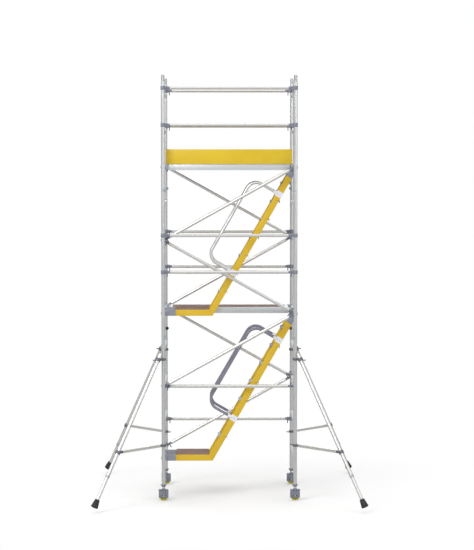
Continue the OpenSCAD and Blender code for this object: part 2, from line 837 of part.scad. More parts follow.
module castor_wheel(side, row) {
    edge = tyre_r - tread_crown;
    color("#b8b02a") at_post(side, row) translate([0, 0, tyre_r]) rotate([90, 0, 0]) rotate_extrude()
        polygon([
            [axle_r + running, -hub_width / 2], [hub_r, -hub_width / 2],
            [hub_r, -wheel_width / 2 + rim_inset],
            [edge - tyre_depth, -wheel_width / 2 + rim_inset], [edge - tyre_shoulder, -wheel_width / 2],
            [edge, -wheel_width / 2],
            [tyre_r, -wheel_width / 2 + tread_crown], [tyre_r, wheel_width / 2 - tread_crown],
            [edge, wheel_width / 2], [edge - tyre_shoulder, wheel_width / 2],
            [edge - tyre_depth, wheel_width / 2 - rim_inset],
            [hub_r, wheel_width / 2 - rim_inset], [hub_r, hub_width / 2], [axle_r + running, hub_width / 2]]);
}

module brake_pedal(side, row) {
    color("#b03020") at_post(side, row) translate([side * pedal_x, 0, pedal_z]) rotate([90, 0, 0]) {
        linear_extrude(height = pedal_width, center = true) {
            circle(r = pedal_boss_r);
            polygon([[0, -5], [side * 20, 2], [side * 24, 12], [side * 4, 9], [0, 7]]);
        }
        cylinder(r = pedal_pin_r, h = fork_width - 1, center = true);
    }
}

// ---- Stabilisers ----

// Places its children at a post with x pointing out to the foot
module facing_foot(side, row) {
    at_post(side, row) rotate([0, 0, atan2(row * foot_out_y, side * foot_out_x)]) children();
}

// Places its children on the upper tube's axis, with z down the tube from the upper clamp
module down_tube() {
    along([clamp_out, 0, upper_clamp_z], [foot_out, 0, foot_height]) children();
}

// Ring round the tube, square to it
module tube_ring() {
    translate([0, 0, -clamp_ring / 2])
        cylinder(d = stabiliser_d + 2 * clearance + 2 * clamp_wall, h = clamp_ring);
}

module tube_hole() {
    translate([0, 0, -2 * clamp_ring]) cylinder(d = stabiliser_d + 2 * clearance, h = 4 * clamp_ring);
}

module post_clamp(z, reach) {
    translate([0, 0, z]) {
        cylinder(d = post_d + 2 * clearance + 2 * clamp_wall, h = clamp_height, center = true);
        translate([0, -clamp_arm[0] / 2, -clamp_arm[1] / 2]) cube([reach, clamp_arm[0], clamp_arm[1]]);
    }
}

module post_hole(z) {
    translate([0, 0, z]) cylinder(d = post_d + 2 * clearance, h = 4 * clamp_height, center = true);
}

module wing_handle(z, out) {
    translate([out, 0, z]) {
        rotate([0, 90, 0]) cylinder(r = handle_rod_r, h = handle_rod);
        translate([handle_rod, 0, 0]) cube(handle_wing, center = true);
    }
}

module stabiliser(side, row) {
    color("gainsboro") facing_foot(side, row) {
        down_tube() translate([0, 0, -stab_above])
            tube(stabiliser_d, stab_wall, stab_above + stab_tube_end);
        translate([arm_start + weld_gap, 0, lower_clamp_z]) rotate([0, 90, 0])
            tube(arm_d, arm_wall, coupler_out - coupler_block - arm_start - 2 * weld_gap);
    }
    color("#404448") facing_foot(side, row) {
        difference() {
            union() {
                post_clamp(upper_clamp_z, clamp_out);
                down_tube() tube_ring();
                wing_handle(upper_clamp_z, clamp_out + stabiliser_d / 2 + clearance + handle_back);
            }
            post_hole(upper_clamp_z);
            down_tube() tube_hole();
        }
        difference() {
            union() {
                post_clamp(lower_clamp_z, arm_start);
                rotate([0, 0, 180]) wing_handle(lower_clamp_z, post_d / 2 + clearance + handle_back);
            }
            post_hole(lower_clamp_z);
        }
        difference() {
            union() {
                translate([coupler_out - coupler_block, -coupler_arm / 2, lower_clamp_z - coupler_arm / 2])
                    cube([coupler_block, coupler_arm, coupler_arm]);
                translate([coupler_out, 0, lower_clamp_z]) rotate([0, 180 - stab_lean, 0]) tube_ring();
            }
            translate([coupler_out, 0, lower_clamp_z]) rotate([0, 180 - stab_lean, 0]) tube_hole();
        }
    }
}

module stabiliser_leg(side, row) {
    start = stab_tube_end - leg_overlap;
    color("gainsboro") facing_foot(side, row) down_tube() translate([0, 0, start])
        tube(stabiliser_leg_d, stab_wall, stab_length - foot_length + foot_socket - start);
}

module stabiliser_foot(side, row) {
    color("#1c1c1e") facing_foot(side, row) down_tube() translate([0, 0, stab_length - foot_length])
        difference() {
            cylinder(r1 = foot_top_r, r2 = foot_sole_r, h = foot_length);
            translate([0, 0, -over]) cylinder(d = stabiliser_leg_d + 2 * running, h = foot_socket + over);
        }
}

frame(LEFT, 0);  // base_frame_left
frame(RIGHT, 0);  // base_frame_right
frame(LEFT, 1);  // middle_frame_left
frame(RIGHT, 1);  // middle_frame_right
frame(LEFT, 2);  // top_frame_left
frame(RIGHT, 2);  // top_frame_right
frame_spigots();
interlock_clips();
horizontal_braces();
diagonal_braces();
brace_claws();
claw_triggers();
deck_platform_frames();
hatch_platform_frame();
platform_decks();
platform_hooks();
hatch_panel();
stringers(0);  // lower_stair_stringers
stringers(1);  // upper_stair_stringers
stair_treads();
stair_landings();
stair_hooks();
handrails(0, "slategray");  // lower_handrails
handrails(1, "silver");  // upper_handrails
handrail_brackets();
long_toe_boards();
end_toe_boards();
toe_board_clips();
adjustable_leg(LEFT, FRONT);  // adjustable_leg_front_left
adjustable_leg(RIGHT, FRONT);  // adjustable_leg_front_right
adjustable_leg(LEFT, BACK);  // adjustable_leg_back_left
adjustable_leg(RIGHT, BACK);  // adjustable_leg_back_right
leg_nut(LEFT, FRONT);  // leg_nut_front_left
leg_nut(RIGHT, FRONT);  // leg_nut_front_right
leg_nut(LEFT, BACK);  // leg_nut_back_left
leg_nut(RIGHT, BACK);  // leg_nut_back_right
castor_fork(LEFT, FRONT);  // castor_fork_front_left
castor_fork(RIGHT, FRONT);  // castor_fork_front_right
castor_fork(LEFT, BACK);  // castor_fork_back_left
castor_fork(RIGHT, BACK);  // castor_fork_back_right
castor_wheel(LEFT, FRONT);  // castor_wheel_front_left
castor_wheel(RIGHT, FRONT);  // castor_wheel_front_right
castor_wheel(LEFT, BACK);  // castor_wheel_back_left
castor_wheel(RIGHT, BACK);  // castor_wheel_back_right
brake_pedal(LEFT, FRONT);  // brake_pedal_front_left
brake_pedal(RIGHT, FRONT);  // brake_pedal_front_right
brake_pedal(LEFT, BACK);  // brake_pedal_back_left
brake_pedal(RIGHT, BACK);  // brake_pedal_back_right
stabiliser(LEFT, FRONT);  // stabiliser_front_left
stabiliser(RIGHT, FRONT);  // stabiliser_front_right
stabiliser(LEFT, BACK);  // stabiliser_back_left
stabiliser(RIGHT, BACK);  // stabiliser_back_right
stabiliser_leg(LEFT, FRONT);  // stabiliser_leg_front_left
stabiliser_leg(RIGHT, FRONT);  // stabiliser_leg_front_right
stabiliser_leg(LEFT, BACK);  // stabiliser_leg_back_left
stabiliser_leg(RIGHT, BACK);  // stabiliser_leg_back_right
stabiliser_foot(LEFT, FRONT);  // stabiliser_foot_front_left
stabiliser_foot(RIGHT, FRONT);  // stabiliser_foot_front_right
stabiliser_foot(LEFT, BACK);  // stabiliser_foot_back_left
stabiliser_foot(RIGHT, BACK);  // stabiliser_foot_back_right
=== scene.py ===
"""Finishes and detail pieces of an aluminium scaffold tower, built around its fixed frame. Metres, Z up."""

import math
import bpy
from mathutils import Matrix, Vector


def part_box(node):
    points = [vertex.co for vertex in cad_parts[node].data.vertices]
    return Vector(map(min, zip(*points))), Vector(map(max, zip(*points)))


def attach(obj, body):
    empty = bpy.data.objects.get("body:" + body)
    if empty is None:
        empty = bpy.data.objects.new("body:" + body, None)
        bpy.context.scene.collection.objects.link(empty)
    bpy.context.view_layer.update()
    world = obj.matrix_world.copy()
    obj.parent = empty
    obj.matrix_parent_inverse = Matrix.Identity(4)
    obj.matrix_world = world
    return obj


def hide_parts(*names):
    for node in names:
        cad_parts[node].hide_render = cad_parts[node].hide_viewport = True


bl_info = {
    "name": "Mobile scaffold tower",
    "version": (1, 0, 0),
    "blender": (4, 5, 0),
    "location": "3D View > Sidebar > Tower",
    "description": "Welds, rivets, boards, treads, castors, stabilisers and finishes of a scaffold tower",
    "category": "Object",
}

import bmesh
import bpy
from mathutils import Matrix, Vector

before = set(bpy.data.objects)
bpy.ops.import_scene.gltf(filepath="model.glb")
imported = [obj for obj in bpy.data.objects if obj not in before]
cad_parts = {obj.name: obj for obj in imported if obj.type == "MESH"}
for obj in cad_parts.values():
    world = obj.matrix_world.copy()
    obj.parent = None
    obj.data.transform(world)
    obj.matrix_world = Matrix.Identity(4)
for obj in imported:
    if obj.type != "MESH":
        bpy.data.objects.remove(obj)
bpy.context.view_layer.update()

MM = 0.001
CORNERS = {"front_left": (-1, -1), "front_right": (1, -1), "back_left": (-1, 1), "back_right": (1, 1)}
SMOOTH_ANGLE = math.radians(36)
EDGE_ANGLE = math.radians(32)


def srgb(*parts):
    """Linear colour of an sRGB colour whose parts run from 0 to 255."""
    return tuple(((c / 255 + 0.055) / 1.055) ** 2.4 if c > 10 else c / 255 / 12.92 for c in parts)


# ---- Reading the frame ----


class Solid:
    """One closed solid of a CAD node: its points, lowest and highest corner, middle and size."""

    def __init__(self, points):
        self.points = points
        self.low = Vector([min(p[i] for p in points) for i in range(3)])
        self.high = Vector([max(p[i] for p in points) for i in range(3)])
        self.middle = (self.low + self.high) / 2
        self.size = self.high - self.low

    def ends(self):
        """The two ends of a straight tube's middle line, the left one first."""
        centre = sum(self.points, Vector()) / len(self.points)
        far = max(self.points, key=lambda p: (p - centre).length_squared) - centre
        halves = [[p for p in self.points if (p - centre).dot(far) * sign > 0] for sign in (-1, 1)]
        found = [sum(half, Vector()) / len(half) for half in halves]
        return sorted(found, key=lambda p: p.x)


def merged(node):
    """A merged copy of a CAD node's mesh, with flat areas as single faces."""
    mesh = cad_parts[node].data.copy()
    if "custom_normal" in mesh.attributes:
        mesh.attributes.remove(mesh.attributes["custom_normal"])
    bm = bmesh.new()
    bm.from_mesh(mesh)
    bpy.data.meshes.remove(mesh)
    bmesh.ops.remove_doubles(bm, verts=bm.verts, dist=0.01 * MM)
    bmesh.ops.dissolve_limit(bm, angle_limit=math.radians(0.5), verts=bm.verts, edges=bm.edges)
    return bm


def islands(bm):
    """The faces of each separate solid."""
    waiting, found = set(bm.faces), []
    while waiting:
        group, edge = [], [waiting.pop()]
        while edge:
            face = edge.pop()
            group.append(face)
            near = {f for e in face.edges for f in e.link_faces} & waiting
            waiting -= near
            edge.extend(near)
        found.append(group)
    return found


def solid_of(faces):
    return Solid([v.co.copy() for v in {v for f in faces for v in f.verts}])


_solids = {}


def solids(node):
    """Every solid of a CAD node."""
    if node not in _solids:
        bm = merged(node)
        _solids[node] = [solid_of(group) for group in islands(bm)]
        bm.free()
    return _solids[node]


POST_LOW, POST_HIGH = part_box("base_frame_left")
post_r = (POST_HIGH.x - POST_LOW.x) / 2
post_y = POST_HIGH.y - post_r
wheel_r = (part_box("castor_wheel_front_left")[1].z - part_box("castor_wheel_front_left")[0].z) / 2
FRAMES = [f"{level}_frame_{side}" for level in ("base", "middle", "top") for side in ("left", "right")]


# ---- Sizes and colours that a user would change ----


def millimetres(name, description, default):
    return bpy.props.FloatProperty(
        name=name, description=description, default=default * MM, min=0, unit="LENGTH", precision=4
    )


def colour(name, description, *parts):
    return bpy.props.FloatVectorProperty(
        name=name, description=description, default=srgb(*parts), subtype="COLOR", size=3, min=0, max=1
    )


class TowerSizes(bpy.types.PropertyGroup):
    weld: millimetres("Weld bead", "Radius of the weld bead round a rung", 2.6)
    rivet: millimetres("Rivet head", "Radius of a rivet's head", 5.0)
    bolt: millimetres("Bolt head", "Radius of a hexagon bolt's head", 7.0)
    casting_edge: millimetres("Casting edge", "Rounding of the castings' edges", 2.0)
    section_edge: millimetres("Section edge", "Rounding of the edges of beams and stringers", 1.6)
    board_edge: millimetres("Board edge", "Rounding of the edges of boards", 2.0)
    rivet_pitch: millimetres("Rivet pitch", "Distance between the rivets of a platform's beams", 166)
    screw_pitch: millimetres("Screw pitch", "Distance between the screws across a deck", 155)
    tread_rib: millimetres("Tread rib", "Height of the ribs on a tread", 2.2)
    thread_pitch: millimetres("Thread pitch", "Rise of the leg's thread in one turn", 10)
    thread_depth: millimetres("Thread depth", "Depth of the leg's thread", 1.7)


class TowerColours(bpy.types.PropertyGroup):
    tube: colour("Frame tube", "Colour of the frames' aluminium", 226, 228, 229)
    brace: colour("Brace tube", "Colour of the braces' and stabilisers' aluminium", 236, 236, 234)
    beam: colour("Beam", "Colour of the platforms' extruded beams", 226, 230, 233)
    casting: colour("Casting", "Blue-grey coating of claws, hooks and castor forks", 130, 133, 145)
    hook: colour("Platform hook", "Light grey of the platforms' hooks", 176, 184, 192)
    clamp: colour("Clamp", "Dark casting of the stabilisers' clamps", 110, 113, 122)
    stringer: colour("Stringer", "Yellow of the stair stringers", 214, 176, 30)
    toe_board: colour("Toe board", "Yellow of the toe boards", 214, 181, 24)
    deck: colour("Deck", "Brown film on the plywood boards", 152, 126, 114)
    handrail: colour("Handrail", "Blue-grey of the lower handrails", 128, 128, 142)
    bracket: colour("Bracket", "Off-white of the handrail brackets", 226, 226, 230)
    tyre: colour("Tyre", "Olive yellow of the castor wheels", 190, 184, 44)
    rubber: colour("Rubber", "Black of the stabiliser feet", 34, 34, 35)


class TowerStage(bpy.types.PropertyGroup):
    key: bpy.props.FloatProperty(name="Key light", description="Power of the main softbox", default=700, min=0)
    fill: bpy.props.FloatProperty(name="Fill light", description="Power of the second softbox", default=180, min=0)
    sky: bpy.props.FloatProperty(name="Surround", description="Brightness of the surround", default=0.92, min=0)
    distance: bpy.props.FloatProperty(
        name="Camera distance", description="Distance from the tower's middle", default=28.5, unit="LENGTH"
    )
    height: bpy.props.FloatProperty(
        name="Camera height", description="Height of the camera above the floor", default=4.765, unit="LENGTH"
    )


# ---- Node trees ----


class Socket:
    """A value inside a node tree. Arithmetic on it adds Math nodes."""

    def __init__(self, nodes, out):
        self.nodes = nodes
        self.out = out

    def port(self, name):
        """Another output of the same node."""
        return Socket(self.nodes, self.out.node.outputs[name])

    def _math(self, operation, first, second=0.0):
        return self.nodes.add("ShaderNodeMath", {"operation": operation}, {0: first, 1: second})

    def __add__(self, other):
        return self._math("ADD", self, other)

    def __sub__(self, other):
        return self._math("SUBTRACT", self, other)

    def __rsub__(self, other):
        return self._math("SUBTRACT", other, self)

    def __mul__(self, other):
        return self._math("MULTIPLY", self, other)

    def __truediv__(self, other):
        return self._math("DIVIDE", self, other)

    def __pow__(self, other):
        return self._math("POWER", self, other)

    def __lt__(self, other):
        return self._math("LESS_THAN", self, other)

    def __abs__(self):
        return self._math("ABSOLUTE", self)

    __radd__ = __add__
    __rmul__ = __mul__

    def wave(self):
        return self._math("SINE", self)

    def cosine(self):
        return self._math("COSINE", self)


class Nodes:
    """Adds nodes to one tree."""

    def __init__(self, tree):
        self.tree = tree

    def add(self, kind, settings=None, values=None, output=0):
        """One node: its settings first, then the values or links of its sockets."""
        node = self.tree.nodes.new(kind)
        for name, value in (settings or {}).items():
            setattr(node, name, value)
        for key, value in (values or {}).items():
            if isinstance(value, Socket):
                self.tree.links.new(value.out, node.inputs[key])
            else:
                node.inputs[key].default_value = value
        return Socket(self, node.outputs[output]) if node.outputs else None

    def mix(self, factor, first, second):
        """A colour between two colours."""
        first, second = ((*c, 1.0) if isinstance(c, tuple) and len(c) == 3 else c for c in (first, second))
        return self.add("ShaderNodeMix", {"data_type": "RGBA"}, {0: factor, 6: first, 7: second}, output=2)

    def scaled(self, vector, *by):
        return self.add("ShaderNodeVectorMath", {"operation": "MULTIPLY"}, {0: vector, 1: by})

    def noise(self, vector, scale, detail=3.0, roughness=0.55):
        values = {"Vector": vector, "Scale": scale, "Detail": detail, "Roughness": roughness}
        return self.add("ShaderNodeTexNoise", None, values)

    def span(self, value, low, high, to_low=0.0, to_high=1.0):
        """Value mapped from one range to another, held at its ends."""
        return self.add("ShaderNodeMapRange", {"clamp": True}, {0: value, 1: low, 2: high, 3: to_low, 4: to_high})


class Finish:
    """One material: its tree, the coordinates on the object, and the worn edges of a rounded piece."""

    def __init__(self, name):
        self.material = bpy.data.materials.new(name)
        self.material.use_nodes = True
        self.material.node_tree.nodes.clear()
        self.nodes = Nodes(self.material.node_tree)
        self.at = self.nodes.add("ShaderNodeTexCoord", None, None, "Object")
        self.edge = self.nodes.add("ShaderNodeAttribute", {"attribute_name": "edge"}, None, "Fac")

    def axes(self):
        split = self.nodes.add("ShaderNodeSeparateXYZ", None, {0: self.at})
        return split, split.port(1), split.port(2)

    def close(self, colour, roughness, metallic=0.0, height=None, relief=0.2, **fixed):
        """The shader and its output. Relief is the depth of the height's bumps in millimetres."""
        values = {"Base Color": colour, "Roughness": roughness, "Metallic": metallic}
        values.update({name.replace("_", " "): value for name, value in fixed.items()})
        if height is not None:
            bump = {"Height": height, "Distance": relief * MM, "Strength": 1.0}
            values["Normal"] = self.nodes.add("ShaderNodeBump", None, bump)
        shader = self.nodes.add("ShaderNodeBsdfPrincipled", None, values)
        self.nodes.add("ShaderNodeOutputMaterial", None, {0: shader})
        return self.material


def drawn_metal(name, tone, stretch, roughness=0.3, rung_stretch=None, metallic=0.85, relief=0.015):
    """Extruded aluminium: fine drawing lines, dull handled patches and small dark specks."""
    f = Finish(name)
    n = f.nodes
    lines = n.noise(n.scaled(f.at, *stretch), 1.0, 5.0, 0.65)
    if rung_stretch:
        across = n.noise(n.scaled(f.at, *rung_stretch), 1.0, 5.0, 0.65)
        on_rung = abs(f.axes()[1]) < post_y - post_r
        lines = lines + (across - lines) * on_rung
    handled = n.span(n.noise(f.at, 5.0, 4.0), 0.42, 0.72)
    specks = n.span(n.noise(f.at, 260.0, 2.0), 0.68, 0.74)
    shade = n.span(lines, 0.2, 0.8) * (1 - handled * 0.5)
    tint = n.mix(shade * 0.45, tone, tuple(c * 0.85 for c in tone))
    tint = n.mix(handled * 0.3, tint, tuple(c * 0.88 for c in tone[:2]) + (tone[2] * 0.92,))
    tint = n.mix(specks * 0.2, tint, (0.3, 0.3, 0.31))
    rough = n.span(lines, 0.2, 0.8, roughness - 0.04, roughness + 0.05) + handled * 0.1 + specks * 0.2
    return f.close(tint, rough, metallic, lines, relief)


def cast_coat(name, tone, roughness=0.46, metallic=0.25):
    """Powder-coated casting: orange-peel skin, soft mottling, and bright metal rubbed through at the edges."""
    f = Finish(name)
    n = f.nodes
    skin = n.noise(f.at, 650.0, 2.0)
    mottle = n.noise(f.at, 28.0, 4.0)
    rubbed = f.edge * n.span(n.noise(f.at, 90.0, 4.0), 0.5, 0.62)
    chips = n.span(n.noise(f.at, 140.0, 3.0), 0.70, 0.73)
    worn = n.span(rubbed + chips * 0.6, 0.0, 1.0)
    tint = n.mix(n.span(mottle, 0.3, 0.7), tuple(c * 0.88 for c in tone), tuple(min(1, c * 1.1) for c in tone))
    tint = n.mix(worn * 0.7, tint, (0.56, 0.56, 0.57))
    rough = n.span(mottle, 0.3, 0.7, roughness - 0.05, roughness + 0.08) - worn * 0.12
    return f.close(tint, rough, worn * 0.6 + metallic, skin, 0.09)


def satin_paint(name, tone, grain=(1.0, 1.0, 1.0), roughness=0.36, ghost=0.5):
    """Sprayed paint: slow drift of tone, scuffs along the grain and chipped edges."""
    f = Finish(name)
    n = f.nodes
    drift = n.noise(f.at, 3.2, 3.0)
    scuffs = n.span(n.noise(n.scaled(f.at, *grain), 34.0, 5.0, 0.7), 0.6, 0.74)
    chipped = f.edge * n.span(n.noise(f.at, 70.0, 4.0), 0.54, 0.6)
    tint = n.mix(n.span(drift, 0.3, 0.7), tuple(c * 0.92 for c in tone), tone)
    tint = n.mix(scuffs * 0.18 * ghost, tint, tuple(0.55 * c + 0.3 for c in tone))
    tint = n.mix(chipped * 0.55, tint, (0.45, 0.44, 0.42))
    peel = n.noise(f.at, 420.0, 2.0)
    rough = n.span(drift, 0.3, 0.7, roughness - 0.03, roughness + 0.05) + scuffs * 0.15
    return f.close(tint, rough, chipped * 0.5, peel, 0.07, IOR=1.5)


def film_plywood(name, tone):
    """Plywood under a brown film: a pressed wire mesh on the broad faces, with painted shade in its grooves, and bare
    plies at the edges.
    """
    f = Finish(name)
    n = f.nodes
    x, y, z = f.axes()
    wires = ((x + y) * 620.0).wave() * ((x - y) * 620.0).wave()
    mesh = n.span(abs(wires), 0.0, 0.5)
    facing = n.add("ShaderNodeNewGeometry", None, None, "Normal")
    up = abs(n.add("ShaderNodeSeparateXYZ", None, {0: facing}, 2))
    edge = up < 0.6
    plies = n.span((z * 2100.0).wave(), -0.3, 0.3)
    grain = n.noise(n.scaled(f.at, 8.0, 8.0, 500.0), 6.0, 5.0, 0.6)
    film = n.mix(n.span(n.noise(f.at, 7.0, 5.0), 0.35, 0.7), tuple(c * 0.82 for c in tone), tone)
    walked = n.span(n.noise(n.scaled(f.at, 1.0, 2.0, 1.0), 2.5, 5.0), 0.5, 0.75)
    film = n.mix(walked * 0.35, film, tuple(0.75 * c + 0.07 for c in tone))
    # Painted shade: the film is darkened along the pressed grooves of the wire mesh, where the bump is lowest.
    film = n.mix((1 - mesh) * 0.3, film, tuple(c * 0.5 for c in tone))
    ply = n.mix(plies * 0.6, tone, tuple(c * 0.62 for c in tone))
    ply = n.mix(n.span(grain, 0.35, 0.7) * 0.4, ply, tuple(min(1, c * 1.45) for c in tone))
    tint = n.mix(edge, film, ply)
    rough = n.span(walked, 0.0, 1.0, 0.75, 0.64) + edge * 0.1
    height = mesh * (1 - edge) + plies * edge * 0.5
    return f.close(tint, rough, 0.0, height, 0.35, Specular_IOR_Level=0.08)


def moulding(name, tone, roughness=0.45, dust=0.12, skin=900.0):
    """Moulded plastic or rubber: fine pebbled skin, dull traces of handling, dust in the low noise."""
    f = Finish(name)
    n = f.nodes
    pebble = n.noise(f.at, skin, 2.0)
    traces = n.span(n.noise(f.at, 22.0, 5.0, 0.65), 0.45, 0.75)
    tint = n.mix(traces * dust, tone, tuple(0.5 * c + 0.22 for c in tone))
    rough = n.span(pebble, 0.3, 0.7, roughness - 0.05, roughness + 0.05) + traces * 0.14 + f.edge * -0.05
    return f.close(tint, rough, 0.0, pebble, 0.1)


def worn_tyre(name, tone):
    """Cast polyurethane: soft sheen, floor dirt on the tread and pale scuffs."""
    f = Finish(name)
    n = f.nodes
    dirt = n.span(n.noise(f.at, 60.0, 5.0, 0.7), 0.5, 0.75)
    scuffs = n.span(n.noise(n.scaled(f.at, 1.0, 6.0, 1.0), 45.0, 4.0), 0.6, 0.72)
    low = n.span(n.noise(f.at, 9.0, 3.0), 0.35, 0.7)
    tint = n.mix(low, tuple(c * 0.86 for c in tone), tone)
    tint = n.mix(dirt * 0.35, tint, tuple(c * 0.45 for c in tone))
    tint = n.mix(scuffs * 0.3, tint, tuple(0.6 * c + 0.28 for c in tone))
    return f.close(tint, n.span(dirt, 0.0, 1.0, 0.38, 0.6), 0.0, n.noise(f.at, 500.0, 3.0), 0.12)


_finishes = {}


def finish(slot):
    """The finish of one material slot, made when it is first asked for."""
    if slot not in _finishes:
        c = bpy.context.scene.tower_colours
        grey = srgb(196, 198, 200)
        makers = {
            "tube_aluminium": lambda: drawn_metal(
                slot, tuple(c.tube), (420, 420, 5), 0.3, rung_stretch=(420, 5, 420)
            ),
            "brace_aluminium": lambda: drawn_metal(slot, tuple(c.brace), (1.2, 420, 420), 0.26, relief=0.006),
            "stay_aluminium": lambda: drawn_metal(slot, tuple(c.brace), (45, 45, 45), 0.28, relief=0.01),
            "spigot_aluminium": lambda: drawn_metal(slot, grey, (300, 300, 12), 0.34),
            "beam_aluminium": lambda: drawn_metal(slot, tuple(c.beam), (4, 300, 300), 0.36, metallic=0.7),
            "tread_aluminium": lambda: drawn_metal(slot, srgb(176, 176, 178), (260, 5, 260), 0.4),
            "bright_steel": lambda: drawn_metal(slot, srgb(205, 206, 208), (60, 60, 60), 0.24, metallic=1.0),
            "cast_alloy": lambda: cast_coat(slot, tuple(c.casting)),
            "pale_casting": lambda: cast_coat(slot, srgb(150, 155, 166), 0.42, 0.35),
            "hook_alloy": lambda: cast_coat(slot, tuple(c.hook), 0.4, 0.45),
            "clamp_alloy": lambda: cast_coat(slot, tuple(c.clamp), 0.42, 0.4),
            "dark_steel": lambda: cast_coat(slot, srgb(92, 94, 104), 0.36, 0.6),
            "red_plastic": lambda: moulding(slot, srgb(96, 98, 106), 0.42),
            "black_plastic": lambda: moulding(slot, srgb(24, 24, 26), 0.38),
            "deck_ply": lambda: film_plywood(slot, tuple(c.deck)),
            "yellow_paint": lambda: satin_paint(slot, tuple(c.stringer), (1, 4, 1)),
            "board_yellow": lambda: satin_paint(slot, tuple(c.toe_board), (0.3, 1, 4), 0.42, 0.8),
            "rail_grey": lambda: satin_paint(slot, tuple(c.handrail), (1, 3, 1), 0.34, 0.7),
            "bracket_white": lambda: moulding(slot, tuple(c.bracket), 0.4, 0.2),
            "rubber": lambda: moulding(slot, tuple(c.rubber), 0.62, 0.2, 500.0),
            "castor_polymer": lambda: worn_tyre(slot, tuple(c.tyre)),
        }
        _finishes[slot] = makers[slot]()
    return _finishes[slot]


# ---- Making pieces ----


def settle(obj):
    """Turns an object with modifiers into a plain smooth-shaded mesh."""
    bpy.context.view_layer.update()
    shown = obj.evaluated_get(bpy.context.evaluated_depsgraph_get())
    mesh = bpy.data.meshes.new_from_object(shown)
    obj.modifiers.clear()
    obj.data = mesh
    mesh.name = obj.name
    mesh.shade_smooth()
    mesh.set_sharp_from_angle(angle=SMOOTH_ANGLE)
    return obj


def place(obj, body, slot, material=None, replaces=()):
    """Gives a finished mesh its material (the slot's finish, unless another material is named), the body it rides on
    and the nodes it stands for.
    """
    if not obj.data.materials:
        obj.data.materials.append(finish(material or slot))
    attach(obj, body)
    if replaces:
        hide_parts(*replaces)
    return obj


def linked(name, mesh):
    obj = bpy.data.objects.new(name, mesh)
    bpy.context.scene.collection.objects.link(obj)
    return obj


def from_bmesh(name, bm):
    mesh = bpy.data.meshes.new(name)
    bm.to_mesh(mesh)
    bm.free()
    return linked(name, mesh)


def rounded(name, node, width, keep=None, segments=2):
    """A copy of a CAD node, or of the solids that keep() picks, with its edges rounded and marked as edge."""
    bm = merged(node)
    if keep:
        unwanted = [f for group in islands(bm) if not keep(solid_of(group)) for f in group]
        bmesh.ops.delete(bm, geom=unwanted, context="FACES")
    obj = from_bmesh(name, bm)
    obj.data.materials.clear()
    bevel = obj.modifiers.new("edges", "BEVEL")
    bevel.width = width
    bevel.segments = segments
    bevel.limit_method = "ANGLE"
    bevel.angle_limit = EDGE_ANGLE
    bevel.use_clamp_overlap = True
    bevel.material = 1
    settle(obj)
    edge = obj.data.attributes.new("edge", "FLOAT", "FACE")
    marks = [float(p.material_index == 1) for p in obj.data.polygons]
    edge.data.foreach_set("value", marks)
    obj.data.polygons.foreach_set("material_index", [0] * len(marks))
    return obj


def skinned(bm, ring, after):
    """Faces between two closed rings of equal length."""
    for i in range(len(ring)):
        j = (i + 1) % len(ring)
        bm.faces.new((ring[i], ring[j], after[j], after[i]))


def lathe(name, profile, origin, axis=(0, 0, 1), steps=48):
    """A closed outline of (radius, height) points turned about an axis."""
    bm = bmesh.new()
    rings = []
    for k in range(steps):
        turn = 2 * math.pi * k / steps
        rings.append([bm.verts.new((r * math.cos(turn), r * math.sin(turn), h)) for r, h in profile])
    for k, ring in enumerate(rings):
        skinned(bm, ring, rings[(k + 1) % steps])
    bmesh.ops.remove_doubles(bm, verts=bm.verts, dist=0.001 * MM)
    bmesh.ops.recalc_face_normals(bm, faces=bm.faces)
    turned = Vector(axis).to_track_quat("Z", "Y").to_matrix().to_4x4()
    bm.transform(Matrix.Translation(origin) @ turned)
    return settle(from_bmesh(name, bm))


def arc(centre, radius, start, stop, steps=5):
    """Points on an arc, in degrees, for an outline."""
    angles = [math.radians(start + (stop - start) * k / steps) for k in range(steps + 1)]
    return [(centre[0] + radius * math.cos(a), centre[1] + radius * math.sin(a)) for a in angles]


def extruded(outlines, name):
    """Outlines in the XZ plane, each with its two ends along Y, as closed solids in one piece."""
    bm = bmesh.new()
    for outline, near, far in outlines:
        caps = [[bm.verts.new((x, y, z)) for x, z in outline] for y in (near, far)]
        bm.faces.new(caps[0])
        bm.faces.new(list(reversed(caps[1])))
        for i in range(len(outline)):
            j = (i + 1) % len(outline)
            bm.faces.new((caps[0][j], caps[0][i], caps[1][i], caps[1][j]))
    bmesh.ops.recalc_face_normals(bm, faces=bm.faces)
    return settle(from_bmesh(name, bm))


def half_rounds(name, lines, radius):
    """Half-round lines along X that stand out of walls, from (start, stop, wall, side, height) of each."""
    bm = bmesh.new()
    for start, stop, wall, side, z in lines:
        profile = [(side * y, h) for y, h in arc((0, 0), radius, -90, 90, 4)]
        rings = [[bm.verts.new((x, wall + y, z + h)) for y, h in profile] for x in (start, stop)]
        bm.faces.new(rings[0])
        bm.faces.new(rings[1])
        skinned(bm, *rings)
    bmesh.ops.recalc_face_normals(bm, faces=bm.faces)
    return settle(from_bmesh(name, bm))


def tree_with(name, sizes, build):
    """A Geometry Nodes tree with named size inputs and a finish, made once. build() gives its geometry."""
    if name in bpy.data.node_groups:
        return bpy.data.node_groups[name]
    tree = bpy.data.node_groups.new(name, "GeometryNodeTree")
    tree.interface.new_socket("Geometry", in_out="INPUT", socket_type="NodeSocketGeometry")
    for size in sizes:
        tree.interface.new_socket(size, in_out="INPUT", socket_type="NodeSocketFloat")
    tree.interface.new_socket("Finish", in_out="INPUT", socket_type="NodeSocketMaterial")
    tree.interface.new_socket("Geometry", in_out="OUTPUT", socket_type="NodeSocketGeometry")
    n = Nodes(tree)
    given = n.add("NodeGroupInput")
    made = build(n, given, {size: given.port(size) for size in sizes})
    real = n.add("GeometryNodeRealizeInstances", None, {0: made})
    shown = n.add("GeometryNodeSetMaterial", None, {"Geometry": real, "Material": given.port("Finish")})
    n.add("NodeGroupOutput", None, {0: shown})
    return tree


